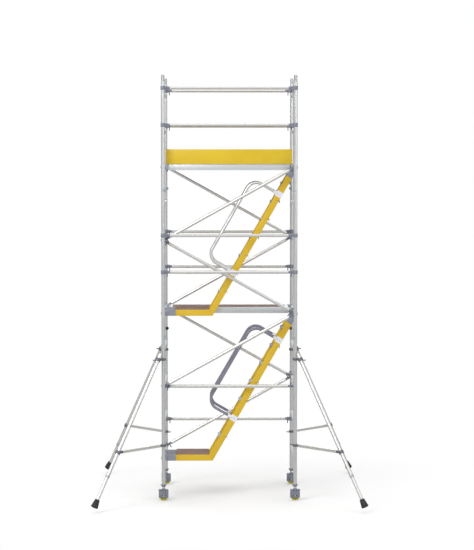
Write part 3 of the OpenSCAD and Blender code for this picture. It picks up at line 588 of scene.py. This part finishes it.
def grown(name, mesh, tree, sizes, slot):
    """What a tree makes of a mesh, as a plain mesh."""
    obj = linked(name, mesh)
    modifier = obj.modifiers.new("made", "NODES")
    modifier.node_group = tree
    names = {item.name: item.identifier for item in tree.interface.items_tree if item.in_out == "INPUT"}
    for size, value in sizes.items():
        modifier[names[size]] = value
    modifier[names["Finish"]] = finish(slot)
    return settle(obj)


def spots(name, places):
    """A mesh of loose points from (place, facing) pairs."""
    mesh = bpy.data.meshes.new(name)
    mesh.from_pydata([tuple(p) for p, _ in places], [], [])
    facing = mesh.attributes.new("facing", "FLOAT_VECTOR", "POINT")
    facing.data.foreach_set("vector", [c for _, f in places for c in f])
    return mesh


def set_on_spots(n, given, shape):
    """Copies of a shape on the spots, with its z axis along each spot's facing."""
    facing = n.add(
        "GeometryNodeInputNamedAttribute", {"data_type": "FLOAT_VECTOR"}, {"Name": "facing"}, "Attribute"
    )
    turn = n.add("FunctionNodeAlignRotationToVector", {"axis": "Z"}, {"Vector": facing})
    values = {"Points": given, "Instance": shape, "Rotation": turn}
    return n.add("GeometryNodeInstanceOnPoints", None, values)


def stacked(n, *shapes):
    joined = n.add("GeometryNodeJoinGeometry")
    for shape in shapes:
        n.tree.links.new(shape.out, joined.out.node.inputs[0])
    return joined


def dome_rivets(n, given, size):
    """Low domed heads."""
    ball = n.add("GeometryNodeMeshUVSphere", None, {"Segments": 12, "Rings": 6, "Radius": 1.0})
    scale = n.add("ShaderNodeCombineXYZ", None, {0: size["Radius"], 1: size["Radius"], 2: size["Radius"] * 0.45})
    dome = n.add("GeometryNodeTransform", None, {"Geometry": ball, "Scale": scale})
    return set_on_spots(n, given, dome)


def hexagon_bolts(n, given, size):
    """A washer, a hexagon head and the rounded end of the thread."""
    kinds = [(20, 1.45, 0.28, 0.14), (6, 1.0, 0.8, 0.6), (12, 0.5, 0.5, 1.05)]
    parts = []
    for sides, radius, depth, lift in kinds:
        values = {"Vertices": sides, "Radius": size["Radius"] * radius, "Depth": size["Radius"] * depth}
        body = n.add("GeometryNodeMeshCylinder", None, values)
        up = n.add("ShaderNodeCombineXYZ", None, {2: size["Radius"] * lift})
        parts.append(n.add("GeometryNodeTransform", None, {"Geometry": body, "Translation": up}))
    return set_on_spots(n, given, stacked(n, *parts))


def weld_beads(n, given, size):
    """A rippled bead along the saddle where a rung meets its post. A spot's facing points along the rung."""
    circle = n.add("GeometryNodeCurvePrimitiveCircle", {"mode": "RADIUS"}, {"Resolution": 44, "Radius": 1.0})
    turn = n.add("GeometryNodeSplineParameter") * (2 * math.pi)
    across = size["Rung radius"] * turn.cosine()
    out = (size["Post radius"] ** 2 - across ** 2) ** 0.5
    spot = n.add("ShaderNodeCombineXYZ", None, {0: across, 1: size["Rung radius"] * turn.wave(), 2: out})
    saddle = n.add("GeometryNodeSetPosition", None, {"Geometry": circle, "Position": spot})
    ripple = (turn * 22.0).wave() * 0.14 + 1.0
    bead = n.add("GeometryNodeCurvePrimitiveCircle", {"mode": "RADIUS"}, {"Resolution": 7, "Radius": size["Bead"]})
    values = {"Curve": saddle, "Profile Curve": bead, "Scale": ripple}
    body = n.add("GeometryNodeCurveToMesh", None, values)
    return set_on_spots(n, given, body)


def screw_thread(n, given, size):
    """A raised thread wound round a core that stands on the origin; the core comes in with it."""
    turns = size["Length"] / size["Pitch"]
    radius = size["Radius"] - size["Depth"] * 0.9
    values = {"Resolution": 24, "Rotations": turns, "Start Radius": radius, "End Radius": radius,
              "Height": size["Length"]}
    helix = n.add("GeometryNodeCurveSpiral", None, values)
    ridge = n.add("GeometryNodeCurvePrimitiveCircle", {"mode": "RADIUS"}, {"Resolution": 6, "Radius": size["Depth"]})
    values = {"Curve": helix, "Profile Curve": ridge, "Fill Caps": True}
    thread = n.add("GeometryNodeCurveToMesh", None, values)
    lift = n.add("ShaderNodeCombineXYZ", None, {2: size["Start"]})
    thread = n.add("GeometryNodeTransform", None, {"Geometry": thread, "Translation": lift})
    return stacked(n, thread, given)


def rows_of_ribs(n, given, size):
    """Flat ribs on the spots, standing along each spot's facing."""
    block = n.add("ShaderNodeCombineXYZ", None, {0: size["Width"], 1: size["Depth"], 2: size["Length"]})
    cube = n.add("GeometryNodeMeshCube", None, {"Size": block})
    return set_on_spots(n, given, cube)


def rivets(name, places, body, slot, radius, material="bright_steel", head=dome_rivets):
    """Equal heads on the spots of one body, shaped by head."""
    tree = tree_with(head.__name__, ["Radius"], head)
    return place(grown(name, spots(name, places), tree, {"Radius": radius}, material), body, slot)


def bolts(*given):
    """Hexagon bolts, with what rivets() takes."""
    return rivets(*given, head=hexagon_bolts)


def recoat(node, slot, material=None):
    """A CAD node that keeps its own shape and gets a finish."""
    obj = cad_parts[node]
    obj.data.materials.clear()
    obj.data.materials.append(finish(material or slot))


def soften(node, slot, width, body="root", material=None):
    """Stands a rounded copy in for a CAD node."""
    return place(rounded(f"{node}_rounded", node, width), body, slot, material, [node])


def evenly(low, high, pitch, margin):
    """Places from low to high, inside a margin, at about a pitch."""
    count = max(1, round((high - low - 2 * margin) / pitch))
    return [low + margin + (high - low - 2 * margin) * k / count for k in range(count + 1)]


FRONT, BACK = Vector((0, -1, 0)), Vector((0, 1, 0))
UP = Vector((0, 0, 1))


def walls(low, high):
    """The front and back walls of a box, each with the way that it faces."""
    return (low.y, FRONT), (high.y, BACK)


# ---- The tower's pieces ----


class TOWER_OT_frames(bpy.types.Operator):
    """End frames: drawn tube finish, weld beads at every rung, spigots and spring clips"""

    bl_idname = "tower.frames"
    bl_label = "End frames"

    def execute(self, context):
        sizes = context.scene.tower_sizes
        for node in FRAMES:
            recoat(node, "tube_aluminium")
        rungs = [s for node in FRAMES for s in solids(node) if s.size.y > s.size.z]
        places = [
            (Vector((rung.middle.x, -row * post_y, rung.middle.z)), Vector((0, row, 0)))
            for rung in rungs for row in (-1, 1)
        ]
        tree = tree_with("weld_beads", ["Rung radius", "Post radius", "Bead"], weld_beads)
        values = {"Rung radius": rungs[0].size.z / 2 + sizes.weld * 0.35, "Post radius": post_r + sizes.weld * 0.2,
                  "Bead": sizes.weld}
        beads = grown("frame_weld_beads", spots("frame_weld_beads", places), tree, values, "spigot_aluminium")
        place(beads, "root", "tube_aluminium")
        recoat("frame_spigots", "spigot_aluminium")
        buttons = [
            (Vector((s.middle.x - math.copysign(s.size.x / 2, s.middle.x), s.middle.y, s.high.z - 30 * MM)),
             Vector((-math.copysign(1, s.middle.x), 0, 0)))
            for s in solids("frame_spigots") if s.high.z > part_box("top_frame_left")[1].z
        ]
        rivets("spigot_buttons", buttons, "root", "spigot_aluminium", sizes.rivet)
        dark = rounded("interlock_clips_black", "interlock_clips", 1.2 * MM, keep=self.is_black)
        place(dark, "root", "black_plastic", None, ["interlock_clips"])
        pale = rounded("interlock_clips_pale", "interlock_clips", 1.2 * MM, keep=lambda s: not self.is_black(s))
        place(pale, "root", "black_plastic", "hook_alloy")
        return {"FINISHED"}

    @staticmethod
    def is_black(clip):
        """The clips of the lower joints at the back are black plastic, the others pale."""
        return clip.middle.y > 0 and clip.middle.z < 3.0


class TOWER_OT_braces(bpy.types.Operator):
    """Braces: drawn tube finish, claw castings, triggers and the rivets that hold them"""

    bl_idname = "tower.braces"
    bl_label = "Braces"

    def execute(self, context):
        sizes = context.scene.tower_sizes
        heads, pins = [], []
        rivet_inset, rivet_sunk, pin_reach = 17 * MM, 0.4 * MM, 42 * MM
        jaw_on_post, jaw_on_rung = 20.8 * MM, 18.0 * MM
        for node, look in (("horizontal_braces", "brace_aluminium"), ("diagonal_braces", "stay_aluminium")):
            recoat(node, "brace_aluminium", look)
            for tube in solids(node):
                left, right = tube.ends()
                inward = (right - left).normalized()
                tube_r = tube.size.y / 2
                for end, way in ((left, inward), (right, -inward)):
                    for side in (FRONT, BACK):
                        heads.append((end + way * rivet_inset + side * (tube_r - rivet_sunk), side))
                    on_post = abs(end.y) > post_y - post_r
                    depth = jaw_on_post if on_post else jaw_on_rung
                    for side in (FRONT, BACK):
                        pins.append((end - way * pin_reach + side * depth, side))
        rivets("brace_rivets", heads, "root", "brace_aluminium", sizes.rivet)
        rivets("claw_pins", pins, "root", "cast_alloy", sizes.rivet * 1.3, "dark_steel")
        soften("brace_claws", "cast_alloy", sizes.casting_edge)
        soften("claw_triggers", "dark_steel", 2.5 * MM)
        return {"FINISHED"}


class TOWER_OT_platforms(bpy.types.Operator):
    """Platforms: extruded beams with raised lines and rivets, film-faced boards with screws, cast hooks"""

    bl_idname = "tower.platforms"
    bl_label = "Platforms"

    def execute(self, context):
        sizes = context.scene.tower_sizes
        heads, lines, end = [], [], 2 * MM
        for node in ("deck_platform_frames", "hatch_platform_frame"):
            soften(node, "beam_aluminium", sizes.section_edge)
            for beam in (s for s in solids(node) if s.size.x > 1.0 and s.size.z > 50 * MM):
                for side in (-1, 1):
                    face = Vector((0, side, 0))
                    wall = beam.middle.y + side * beam.size.y / 2
                    for x in evenly(beam.low.x, beam.high.x, sizes.rivet_pitch, 60 * MM):
                        heads.append((Vector((x, wall, beam.high.z - 24 * MM)), face))
                    for drop in (9 * MM, beam.size.z / 2, beam.size.z - 9 * MM):
                        lines.append((beam.low.x + end, beam.high.x - end, wall, side, beam.high.z - drop))
        rivets("beam_rivets", heads, "root", "beam_aluminium", sizes.rivet * 0.8)
        place(half_rounds("beam_lines", lines, 1.1 * MM), "root", "beam_aluminium")
        soften("platform_decks", "deck_ply", sizes.board_edge)
        screws = [
            (Vector((x, y, board.high.z)), UP)
            for board in solids("platform_decks")
            for x in evenly(board.low.x, board.high.x, board.size.x / 4, 22 * MM)
            for y in evenly(board.low.y, board.high.y, sizes.screw_pitch, 22 * MM)
        ]
        rivets("deck_screws", screws, "root", "beam_aluminium", sizes.rivet)
        soften("platform_hooks", "hook_alloy", sizes.casting_edge)
        return {"FINISHED"}


class TOWER_OT_hatch(bpy.types.Operator):
    """Hatch: its board and hinge leaves, a rim round the hand slot and screws"""

    bl_idname = "tower.hatch"
    bl_label = "Hatch"

    def execute(self, context):
        sizes = context.scene.tower_sizes
        low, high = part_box("hatch_panel")
        board = rounded("hatch_board", "hatch_panel", 1.0 * MM)
        board.data.materials.append(finish("deck_ply"))
        board.data.materials.append(finish("hook_alloy"))
        top = max(s.high.z for s in solids("platform_decks"))
        metal = [int(p.center.z > top + 0.3 * MM) for p in board.data.polygons]
        board.data.polygons.foreach_set("material_index", metal)
        place(board, "hatch", "deck_ply", None, ["hatch_panel"])
        self.slot_rim((low.x + high.x) / 2, high.y - 60 * MM, top)
        screws = [
            (Vector((x, y, top)), UP)
            for x in evenly(low.x, high.x, 0.2, 26 * MM)
            for y in (high.y - 18 * MM, low.y + 62 * MM)
        ]
        rivets("hatch_screws", screws, "hatch", "deck_ply", sizes.rivet)
        return {"FINISHED"}

    @staticmethod
    def slot_rim(x, y, top):
        """A thin raised rim round the hand slot."""
        inner, outer, corner = Vector((46.5 * MM, 14 * MM)), Vector((58 * MM, 25.5 * MM)), 8 * MM
        bm = bmesh.new()
        loops = []
        for half, z in ((inner, top - 1 * MM), (inner, top + 1.6 * MM), (outer, top + 1.6 * MM), (outer, top - 1 * MM)):
            points = []
            for sx, sy, start in ((1, 1, 0), (-1, 1, 90), (-1, -1, 180), (1, -1, 270)):
                centre = (x + sx * (half.x - corner), y + sy * (half.y - corner))
                points += arc(centre, corner, start, start + 90, 5)
            loops.append([bm.verts.new((px, py, z)) for px, py in points])
        for k, loop in enumerate(loops):
            skinned(bm, loop, loops[(k + 1) % len(loops)])
        bmesh.ops.recalc_face_normals(bm, faces=bm.faces)
        place(settle(from_bmesh("hand_slot_rim", bm)), "hatch", "deck_ply", "black_plastic")


class TOWER_OT_toe_boards(bpy.types.Operator):
    """Toe boards: painted boards with eased edges, corner angles and their screws"""

    bl_idname = "tower.toe_boards"
    bl_label = "Toe boards"

    def execute(self, context):
        sizes = context.scene.tower_sizes
        for node in ("long_toe_boards", "end_toe_boards"):
            soften(node, "board_yellow", sizes.board_edge)
        soften("toe_board_clips", "beam_aluminium", 0.8 * MM)
        low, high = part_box("long_toe_boards")
        places = [
            (Vector((side * (high.x - inset), row * high.y, (low.z + high.z) / 2 + rise)), Vector((0, row, 0)))
            for side in (-1, 1) for row in (-1, 1) for inset in (14 * MM, 30 * MM) for rise in (-22 * MM, 22 * MM)
        ]
        rivets("toe_board_screws", places, "root", "board_yellow", sizes.rivet * 0.8)
        return {"FINISHED"}


class TOWER_OT_stairs(bpy.types.Operator):
    """Stairs: painted stringers, ribbed treads bolted through them, boarded landings and cast hooks"""

    bl_idname = "tower.stairs"
    bl_label = "Stairs"

    def execute(self, context):
        sizes = context.scene.tower_sizes
        for node in ("lower_stair_stringers", "upper_stair_stringers"):
            soften(node, "yellow_paint", sizes.section_edge)
        treads = solids("stair_treads")
        outlines = [(self.ribbed(tread, sizes.tread_rib), tread.low.y, tread.high.y) for tread in treads]
        place(extruded(outlines, "ribbed_treads"), "root", "tread_aluminium", None, ["stair_treads"])
        low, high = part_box("lower_stair_stringers")
        heads = [
            (Vector((tread.middle.x + shift, wall, tread.high.z - 20 * MM)), side)
            for tread in treads for shift in (2 * MM, 34 * MM) for wall, side in walls(low, high)
        ]
        rivets("tread_rivets", heads, "root", "yellow_paint", sizes.rivet * 0.9, "yellow_paint")
        soften("stair_landings", "deck_ply", sizes.board_edge)
        screws = [
            (Vector((x, y, board.high.z)), UP)
            for board in solids("stair_landings")
            for x in evenly(board.low.x, board.high.x, 0.14, 24 * MM)
            for y in (board.low.y + 18 * MM, board.high.y - 18 * MM)
        ]
        rivets("landing_screws", screws, "root", "beam_aluminium", sizes.rivet)
        soften("stair_hooks", "cast_alloy", sizes.casting_edge, material="pale_casting")
        seams = [
            (tread.high.x - 52 * MM, tread.high.x - 4 * MM, wall, side.y, tread.high.z - 2 * MM)
            for tread in treads for wall, side in walls(low, high)
        ]
        place(half_rounds("tread_seams", seams, 1.3 * MM), "root", "yellow_paint", "dark_steel")
        return {"FINISHED"}

    @staticmethod
    def ribbed(tread, rib):
        """Outline of a tread: a channel with a round nose and gripping ribs along its top."""
        x0, x1, z0, z1 = tread.low.x, tread.high.x, tread.low.z, tread.high.z
        wall, nose, count = 3 * MM, 6 * MM, 11
        first, pitch = x0 + nose + 4 * MM, (x1 - x0 - 2 * nose - 8 * MM) / count
        outline = [(x0, z0)] + arc((x0 + nose, z1 - rib - nose), nose, 180, 90)
        for k in range(count):
            start = first + k * pitch
            for share, lift in ((0.1, 0.0), (0.25, rib), (0.65, rib), (0.8, 0.0)):
                outline.append((start + share * pitch, z1 - rib + lift))
        outline += arc((x1 - nose, z1 - rib - nose), nose, 90, 0)
        inside = z1 - rib - wall
        return outline + [(x1, z0), (x1 - wall, z0), (x1 - wall, inside), (x0 + wall, inside), (x0 + wall, z0)]


class TOWER_OT_handrails(bpy.types.Operator):
    """Handrails: painted and bright tubes, socket brackets and the bolts through them"""

    bl_idname = "tower.handrails"
    bl_label = "Handrails"

    def execute(self, context):
        sizes = context.scene.tower_sizes
        recoat("lower_handrails", "rail_grey")
        recoat("upper_handrails", "brace_aluminium", "stay_aluminium")
        soften("handrail_brackets", "bracket_white", sizes.section_edge)
        low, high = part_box("lower_stair_stringers")
        middle = (low.y + high.y) / 2
        heads = []
        for bracket in solids("handrail_brackets"):
            side = FRONT if bracket.middle.y < middle else BACK
            wall = bracket.low.y if side is FRONT else bracket.high.y
            down = Vector((math.sin(math.radians(60)), 0, -math.cos(math.radians(60))))
            for share in (-12 * MM, 26 * MM):
                spot = bracket.middle + down * share
                heads.append((Vector((spot.x, wall + side.y * -9 * MM, spot.z)), side))
        bolts("bracket_bolts", heads, "root", "bracket_white", sizes.bolt * 0.9)
        return {"FINISHED"}


class TOWER_OT_legs(bpy.types.Operator):
    """Adjustable legs: a threaded tube with its guide, and the wing nut under the post"""

    bl_idname = "tower.legs"
    bl_label = "Adjustable legs"

    def execute(self, context):
        sizes = context.scene.tower_sizes
        for corner in CORNERS:
            node = f"adjustable_leg_{corner}"
            low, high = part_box(node)
            centre = Vector(((low.x + high.x) / 2, (low.y + high.y) / 2, low.z))
            guide_r, guide = (high.x - low.x) / 2, 30 * MM
            stem = min((Vector((p.x, p.y)) - centre.xy).length for s in solids(node) for p in s.points)
            tube_r = 19 * MM
            core_r, length = tube_r - sizes.thread_depth, high.z - low.z
            profile = [(stem, 0), (core_r, 0), (core_r, length - guide), (guide_r, length - guide),
                       (guide_r, length), (stem, length)]
            core = lathe(f"leg_core_{corner}", profile, (0, 0, 0), steps=40)
            tree = tree_with("screw_thread", ["Radius", "Pitch", "Length", "Depth", "Start"], screw_thread)
            values = {"Radius": tube_r, "Pitch": sizes.thread_pitch, "Depth": sizes.thread_depth * 0.55,
                      "Length": length - guide - 16 * MM, "Start": 8 * MM}
            core.data.materials.append(finish("tube_aluminium"))
            leg = grown(f"threaded_leg_{corner}", core.data.copy(), tree, values, "tube_aluminium")
            bpy.data.objects.remove(core)
            leg.data.transform(Matrix.Translation(centre))
            place(leg, f"leg_{corner}", "tube_aluminium", None, [node])
            soften(f"leg_nut_{corner}", "cast_alloy", sizes.casting_edge, f"nut_{corner}")
        return {"FINISHED"}


class TOWER_OT_castors(bpy.types.Operator):
    """Castors: cast fork with bolts, moulded tyre on a ribbed wheel, and the brake pedal"""

    bl_idname = "tower.castors"
    bl_label = "Castors"

    def execute(self, context):
        sizes = context.scene.tower_sizes
        for corner in CORNERS:
            fork = f"castor_fork_{corner}"
            soften(fork, "cast_alloy", sizes.casting_edge, f"castor_{corner}")
            low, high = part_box(f"castor_wheel_{corner}")
            hub = (low + high) / 2
            plates = walls(*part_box(fork))
            axle = [(Vector((hub.x, y - side.y * 3 * MM, hub.z)), side) for y, side in plates]
            bolts(f"axle_nuts_{corner}", axle, f"castor_{corner}", "cast_alloy", 9 * MM)
            plate = [
                (Vector((hub.x + across, y - side.y * 4 * MM, hub.z + rise)), side)
                for y, side in plates for across in (-22 * MM, 22 * MM) for rise in (6 * MM, 74 * MM)
            ]
            bolts(f"fork_bolts_{corner}", plate, f"castor_{corner}", "cast_alloy", 6 * MM, "dark_steel")
            self.wheel(corner, hub, (high.y - low.y) / 2)
            pedal = f"brake_pedal_{corner}"
            soften(pedal, "red_plastic", 1.0 * MM, f"pedal_{corner}")
        return {"FINISHED"}

    @staticmethod
    def wheel(corner, hub, half):
        """The tyre and wheel turned in one outline, and the ribs between rim and hub."""
        tyre, rim, boss, bore, web = half - 3 * MM, wheel_r - 12 * MM, 18 * MM, 6.1 * MM, 7 * MM
        round_r = 5 * MM
        shoulder = arc((wheel_r - round_r, -tyre + round_r), round_r, -90, 0)
        other = arc((wheel_r - round_r, tyre - round_r), round_r, 0, 90)
        profile = [(bore, -half), (boss - 1 * MM, -half), (boss, -half + 1 * MM), (boss + 2 * MM, -web),
                   (rim - 3 * MM, -web), (rim, -tyre + 1 * MM), (rim + 2 * MM, -tyre)]
        profile += shoulder + [(wheel_r - 0.2 * MM, 0)] + other
        profile += [(rim + 2 * MM, tyre), (rim, tyre - 1 * MM), (rim - 3 * MM, web), (boss + 2 * MM, web),
                    (boss, half - 1 * MM), (boss - 1 * MM, half), (bore, half)]
        wheel = lathe(f"wheel_{corner}", profile, hub, (0, 1, 0), 64)
        place(wheel, f"wheel_{corner}", "castor_polymer", None, [f"castor_wheel_{corner}"])
        places = []
        for k in range(8):
            turn = 2 * math.pi * (k + 0.5) / 8
            way = Vector((math.cos(turn), 0, math.sin(turn)))
            places += [(hub + way * (boss + rim) / 2 + side * (web + 2 * MM), way) for side in (FRONT, BACK)]
        tree = tree_with("rows_of_ribs", ["Width", "Depth", "Length"], rows_of_ribs)
        size = {"Width": 4 * MM, "Depth": 10 * MM, "Length": rim - boss - 1 * MM}
        ribs = grown(f"wheel_ribs_{corner}", spots(f"ribs_{corner}", places), tree, size, "castor_polymer")
        place(ribs, f"wheel_{corner}", "castor_polymer")


class TOWER_OT_stabilisers(bpy.types.Operator):
    """Stabilisers: bright tubes, clamp castings with wing handles, locking collar, leg and rubber foot"""

    bl_idname = "tower.stabilisers"
    bl_label = "Stabilisers"

    def execute(self, context):
        sizes = context.scene.tower_sizes
        for corner in CORNERS:
            node, leg_node = f"stabiliser_{corner}", f"stabiliser_leg_{corner}"
            body, leg_body = f"stabiliser_{corner}", f"stabiliser_leg_{corner}"
            tubes = sorted((s for s in solids(node) if max(s.size) > 0.3), key=lambda s: -s.size.length)
            tube = rounded(f"stabiliser_tubes_{corner}", node, 0.5 * MM, keep=lambda s: max(s.size) > 0.3, segments=1)
            place(tube, body, "brace_aluminium", "stay_aluminium", [node])
            clamps = rounded(f"stabiliser_clamps_{corner}", node, sizes.casting_edge, keep=lambda s: max(s.size) <= 0.3)
            place(clamps, body, "cast_alloy", "clamp_alloy")
            ends = sorted(solids(leg_node)[0].ends(), key=lambda p: -p.z)
            down = (ends[1] - ends[0]).normalized()
            mouth = min(tubes[0].ends(), key=lambda p: p.z)
            self.collar(corner, mouth, down, body)
            recoat(leg_node, "brace_aluminium", "stay_aluminium")
            self.foot(corner, ends[1], down, leg_body)
        return {"FINISHED"}

    @staticmethod
    def collar(corner, mouth, down, body):
        """Moulded collar on the lower end of the upper tube, with its spring button."""
        bore, skin, length = 22.9 * MM, 28.5 * MM, 36 * MM
        profile = [(bore, 0)] + arc((skin - 3 * MM, 3 * MM), 3 * MM, -90, 0, 4)
        recess, lip = 25.6 * MM, 4 * MM
        profile += [(skin, length - 8 * MM), (26.2 * MM, length), (recess, length), (recess, lip), (bore, lip)]
        start = mouth + down * 4 * MM
        ring = lathe(f"locking_collar_{corner}", profile, start, -down, 40)
        place(ring, body, "brace_aluminium", "hook_alloy")
        side = down.cross(Vector((0, 0, 1))).normalized()
        places = [(mouth - down * 60 * MM + way * 25 * MM, way) for way in (side, -side)]
        rivets(f"spring_button_{corner}", places, body, "dark_steel", 6 * MM, "dark_steel")

    @staticmethod
    def foot(corner, leg_end, down, body):
        """Rubber foot: a flared boot with grip rings and a grooved sole, closed at its top round the leg."""
        node = f"stabiliser_foot_{corner}"
        along = [(p - leg_end).dot(down) for p in solids(node)[0].points]
        top, sole = min(along), max(along)
        length = sole - top
        top_r, sole_r, bore = 32.5 * MM, 50 * MM, 22.6 * MM
        profile = [(bore, 0), (top_r - 4 * MM, 0)] + arc((top_r - 4 * MM, 4 * MM), 4 * MM, -90, 0, 4)
        rings = 5
        for k in range(rings):
            at = 12 * MM + (length - 36 * MM) * k / rings
            skin = top_r + (sole_r - top_r) * at / length
            profile += [(skin, at), (skin + 1.2 * MM, at + 2 * MM), (skin + 1.2 * MM, at + 7 * MM), (skin, at + 9 * MM)]
        profile += arc((sole_r - 5 * MM, length - 5 * MM), 5 * MM, 0, 90, 4)
        for groove in (38 * MM, 26 * MM, 14 * MM):
            profile += [(groove, length), (groove - 1 * MM, length - 3 * MM), (groove - 4 * MM, length - 3 * MM),
                        (groove - 5 * MM, length)]
        profile += [(0, length), (0, 62 * MM), (bore, 62 * MM)]
        boot = lathe(f"rubber_foot_{corner}", profile, leg_end + down * top, down, 56)
        place(boot, body, "rubber", None, [node])


class TOWER_OT_stage(bpy.types.Operator):
    """Stage: pale floor that fades into the surround, soft studio light and the camera"""

    bl_idname = "tower.stage"
    bl_label = "Stage"

    def execute(self, context):
        stage = context.scene.tower_stage
        context.scene.view_settings.view_transform = "Standard"
        self.surround(context.scene, stage.sky)
        self.floor()
        softboxes = [
            ("key", stage.key, (-7.0, -9.0, 10.0), 6.0),
            ("fill", stage.fill, (10.0, -7.0, 6.0), 5.0),
            ("rim", stage.fill, (2.0, 10.0, 9.0), 6.0),
        ]
        for name, power, spot, size in softboxes:
            lamp = bpy.data.lights.new(name, "AREA")
            lamp.energy, lamp.size = power, size
            light = bpy.data.objects.new(name, lamp)
            light.location = spot
            light.rotation_euler = (Vector((0, 0, 2.6)) - Vector(spot)).to_track_quat("-Z", "Y").to_euler()
            context.scene.collection.objects.link(light)
        lens = bpy.data.cameras.new("camera")
        lens.sensor_width, lens.lens, lens.clip_end = 36.0, 133.9, 200.0
        camera = bpy.data.objects.new("camera", lens)
        off_centre, down, turn = -0.162, 3.445, -0.55
        camera.location = (off_centre, -stage.distance, stage.height)
        camera.rotation_euler = (math.radians(90 - down), 0, math.radians(turn))
        context.scene.collection.objects.link(camera)
        context.scene.camera = camera
        return {"FINISHED"}

    @staticmethod
    def surround(scene, strength):
        """White to look at; for reflections a studio that darkens towards the floor line."""
        world = bpy.data.worlds.new("surround")
        world.use_nodes = True
        world.node_tree.nodes.clear()
        n = Nodes(world.node_tree)
        way = n.add("ShaderNodeTexCoord", None, None, "Generated")
        split = n.add("ShaderNodeSeparateXYZ", None, {0: way})
        height = n.span(split.port(2), -0.05, 0.8, 0.62, 1.2)
        side = n.span(abs(split), 0.35, 0.95, 1.0, 0.3)
        studio = n.add("ShaderNodeBackground", None, {0: (1, 1, 1, 1), 1: height * side * strength})
        white = n.add("ShaderNodeBackground", None, {0: (1, 1, 1, 1), 1: 1.0})
        seen = n.add("ShaderNodeLightPath", None, None, "Is Camera Ray")
        n.add("ShaderNodeOutputWorld", None, {0: n.add("ShaderNodeMixShader", None, {0: seen, 1: studio, 2: white})})
        scene.world = world

    @staticmethod
    def floor():
        """A wide disc, matt near the tower and as white as the surround further off; to glossy rays it is darker, which
        paints shade into the reflections of it.
        """
        bm = bmesh.new()
        bmesh.ops.create_circle(bm, cap_ends=True, segments=96, radius=90.0)
        disc = from_bmesh("floor", bm)
        f = Finish("floor")
        n = f.nodes
        away = n.add("ShaderNodeVectorMath", {"operation": "LENGTH"}, {0: f.at}, "Value")
        fade = n.span(away, 1.0, 4.2)
        mirrored = n.add("ShaderNodeLightPath", None, None, "Is Glossy Ray")
        # Painted shade in reflections: glossy rays see the floor at 0.55 instead of 0.95 and its glow halved, so the
        # metal's undersides mirror a dimmer floor.
        tint = n.mix(mirrored, (0.95, 0.95, 0.95), (0.55, 0.54, 0.52))
        matt = n.add("ShaderNodeBsdfDiffuse", None, {"Color": tint})
        glow = n.add("ShaderNodeEmission", None, {"Strength": n.span(mirrored, 0.0, 1.0, 1.0, 0.5)})
        n.add("ShaderNodeOutputMaterial", None, {0: n.add("ShaderNodeMixShader", None, {0: fade, 1: matt, 2: glow})})
        disc.data.materials.append(f.material)


PIECES = (
    TOWER_OT_frames,
    TOWER_OT_braces,
    TOWER_OT_platforms,
    TOWER_OT_hatch,
    TOWER_OT_toe_boards,
    TOWER_OT_stairs,
    TOWER_OT_handrails,
    TOWER_OT_legs,
    TOWER_OT_castors,
    TOWER_OT_stabilisers,
    TOWER_OT_stage,
)
GROUPS = {"tower_sizes": TowerSizes, "tower_colours": TowerColours, "tower_stage": TowerStage}


class TOWER_PT_panel(bpy.types.Panel):
    """The tower's sizes and colours, and a button for each group of pieces"""

    bl_idname = "TOWER_PT_panel"
    bl_label = "Scaffold tower"
    bl_space_type = "VIEW_3D"
    bl_region_type = "UI"
    bl_category = "Tower"

    def draw(self, context):
        for piece in PIECES:
            self.layout.operator(piece.bl_idname)
        for group, kind in GROUPS.items():
            box = self.layout.box()
            for size in kind.__annotations__:
                box.prop(getattr(context.scene, group), size)


CLASSES = (*GROUPS.values(), *PIECES, TOWER_PT_panel)


def register():
    for kind in CLASSES:
        bpy.utils.register_class(kind)
    for group, kind in GROUPS.items():
        setattr(bpy.types.Scene, group, bpy.props.PointerProperty(type=kind))


def unregister():
    for group in GROUPS:
        delattr(bpy.types.Scene, group)
    for kind in reversed(CLASSES):
        bpy.utils.unregister_class(kind)


def main():
    register()
    for piece in PIECES:
        group, name = piece.bl_idname.split(".")
        getattr(getattr(bpy.ops, group), name)()


if __name__ == "__main__":
    main()
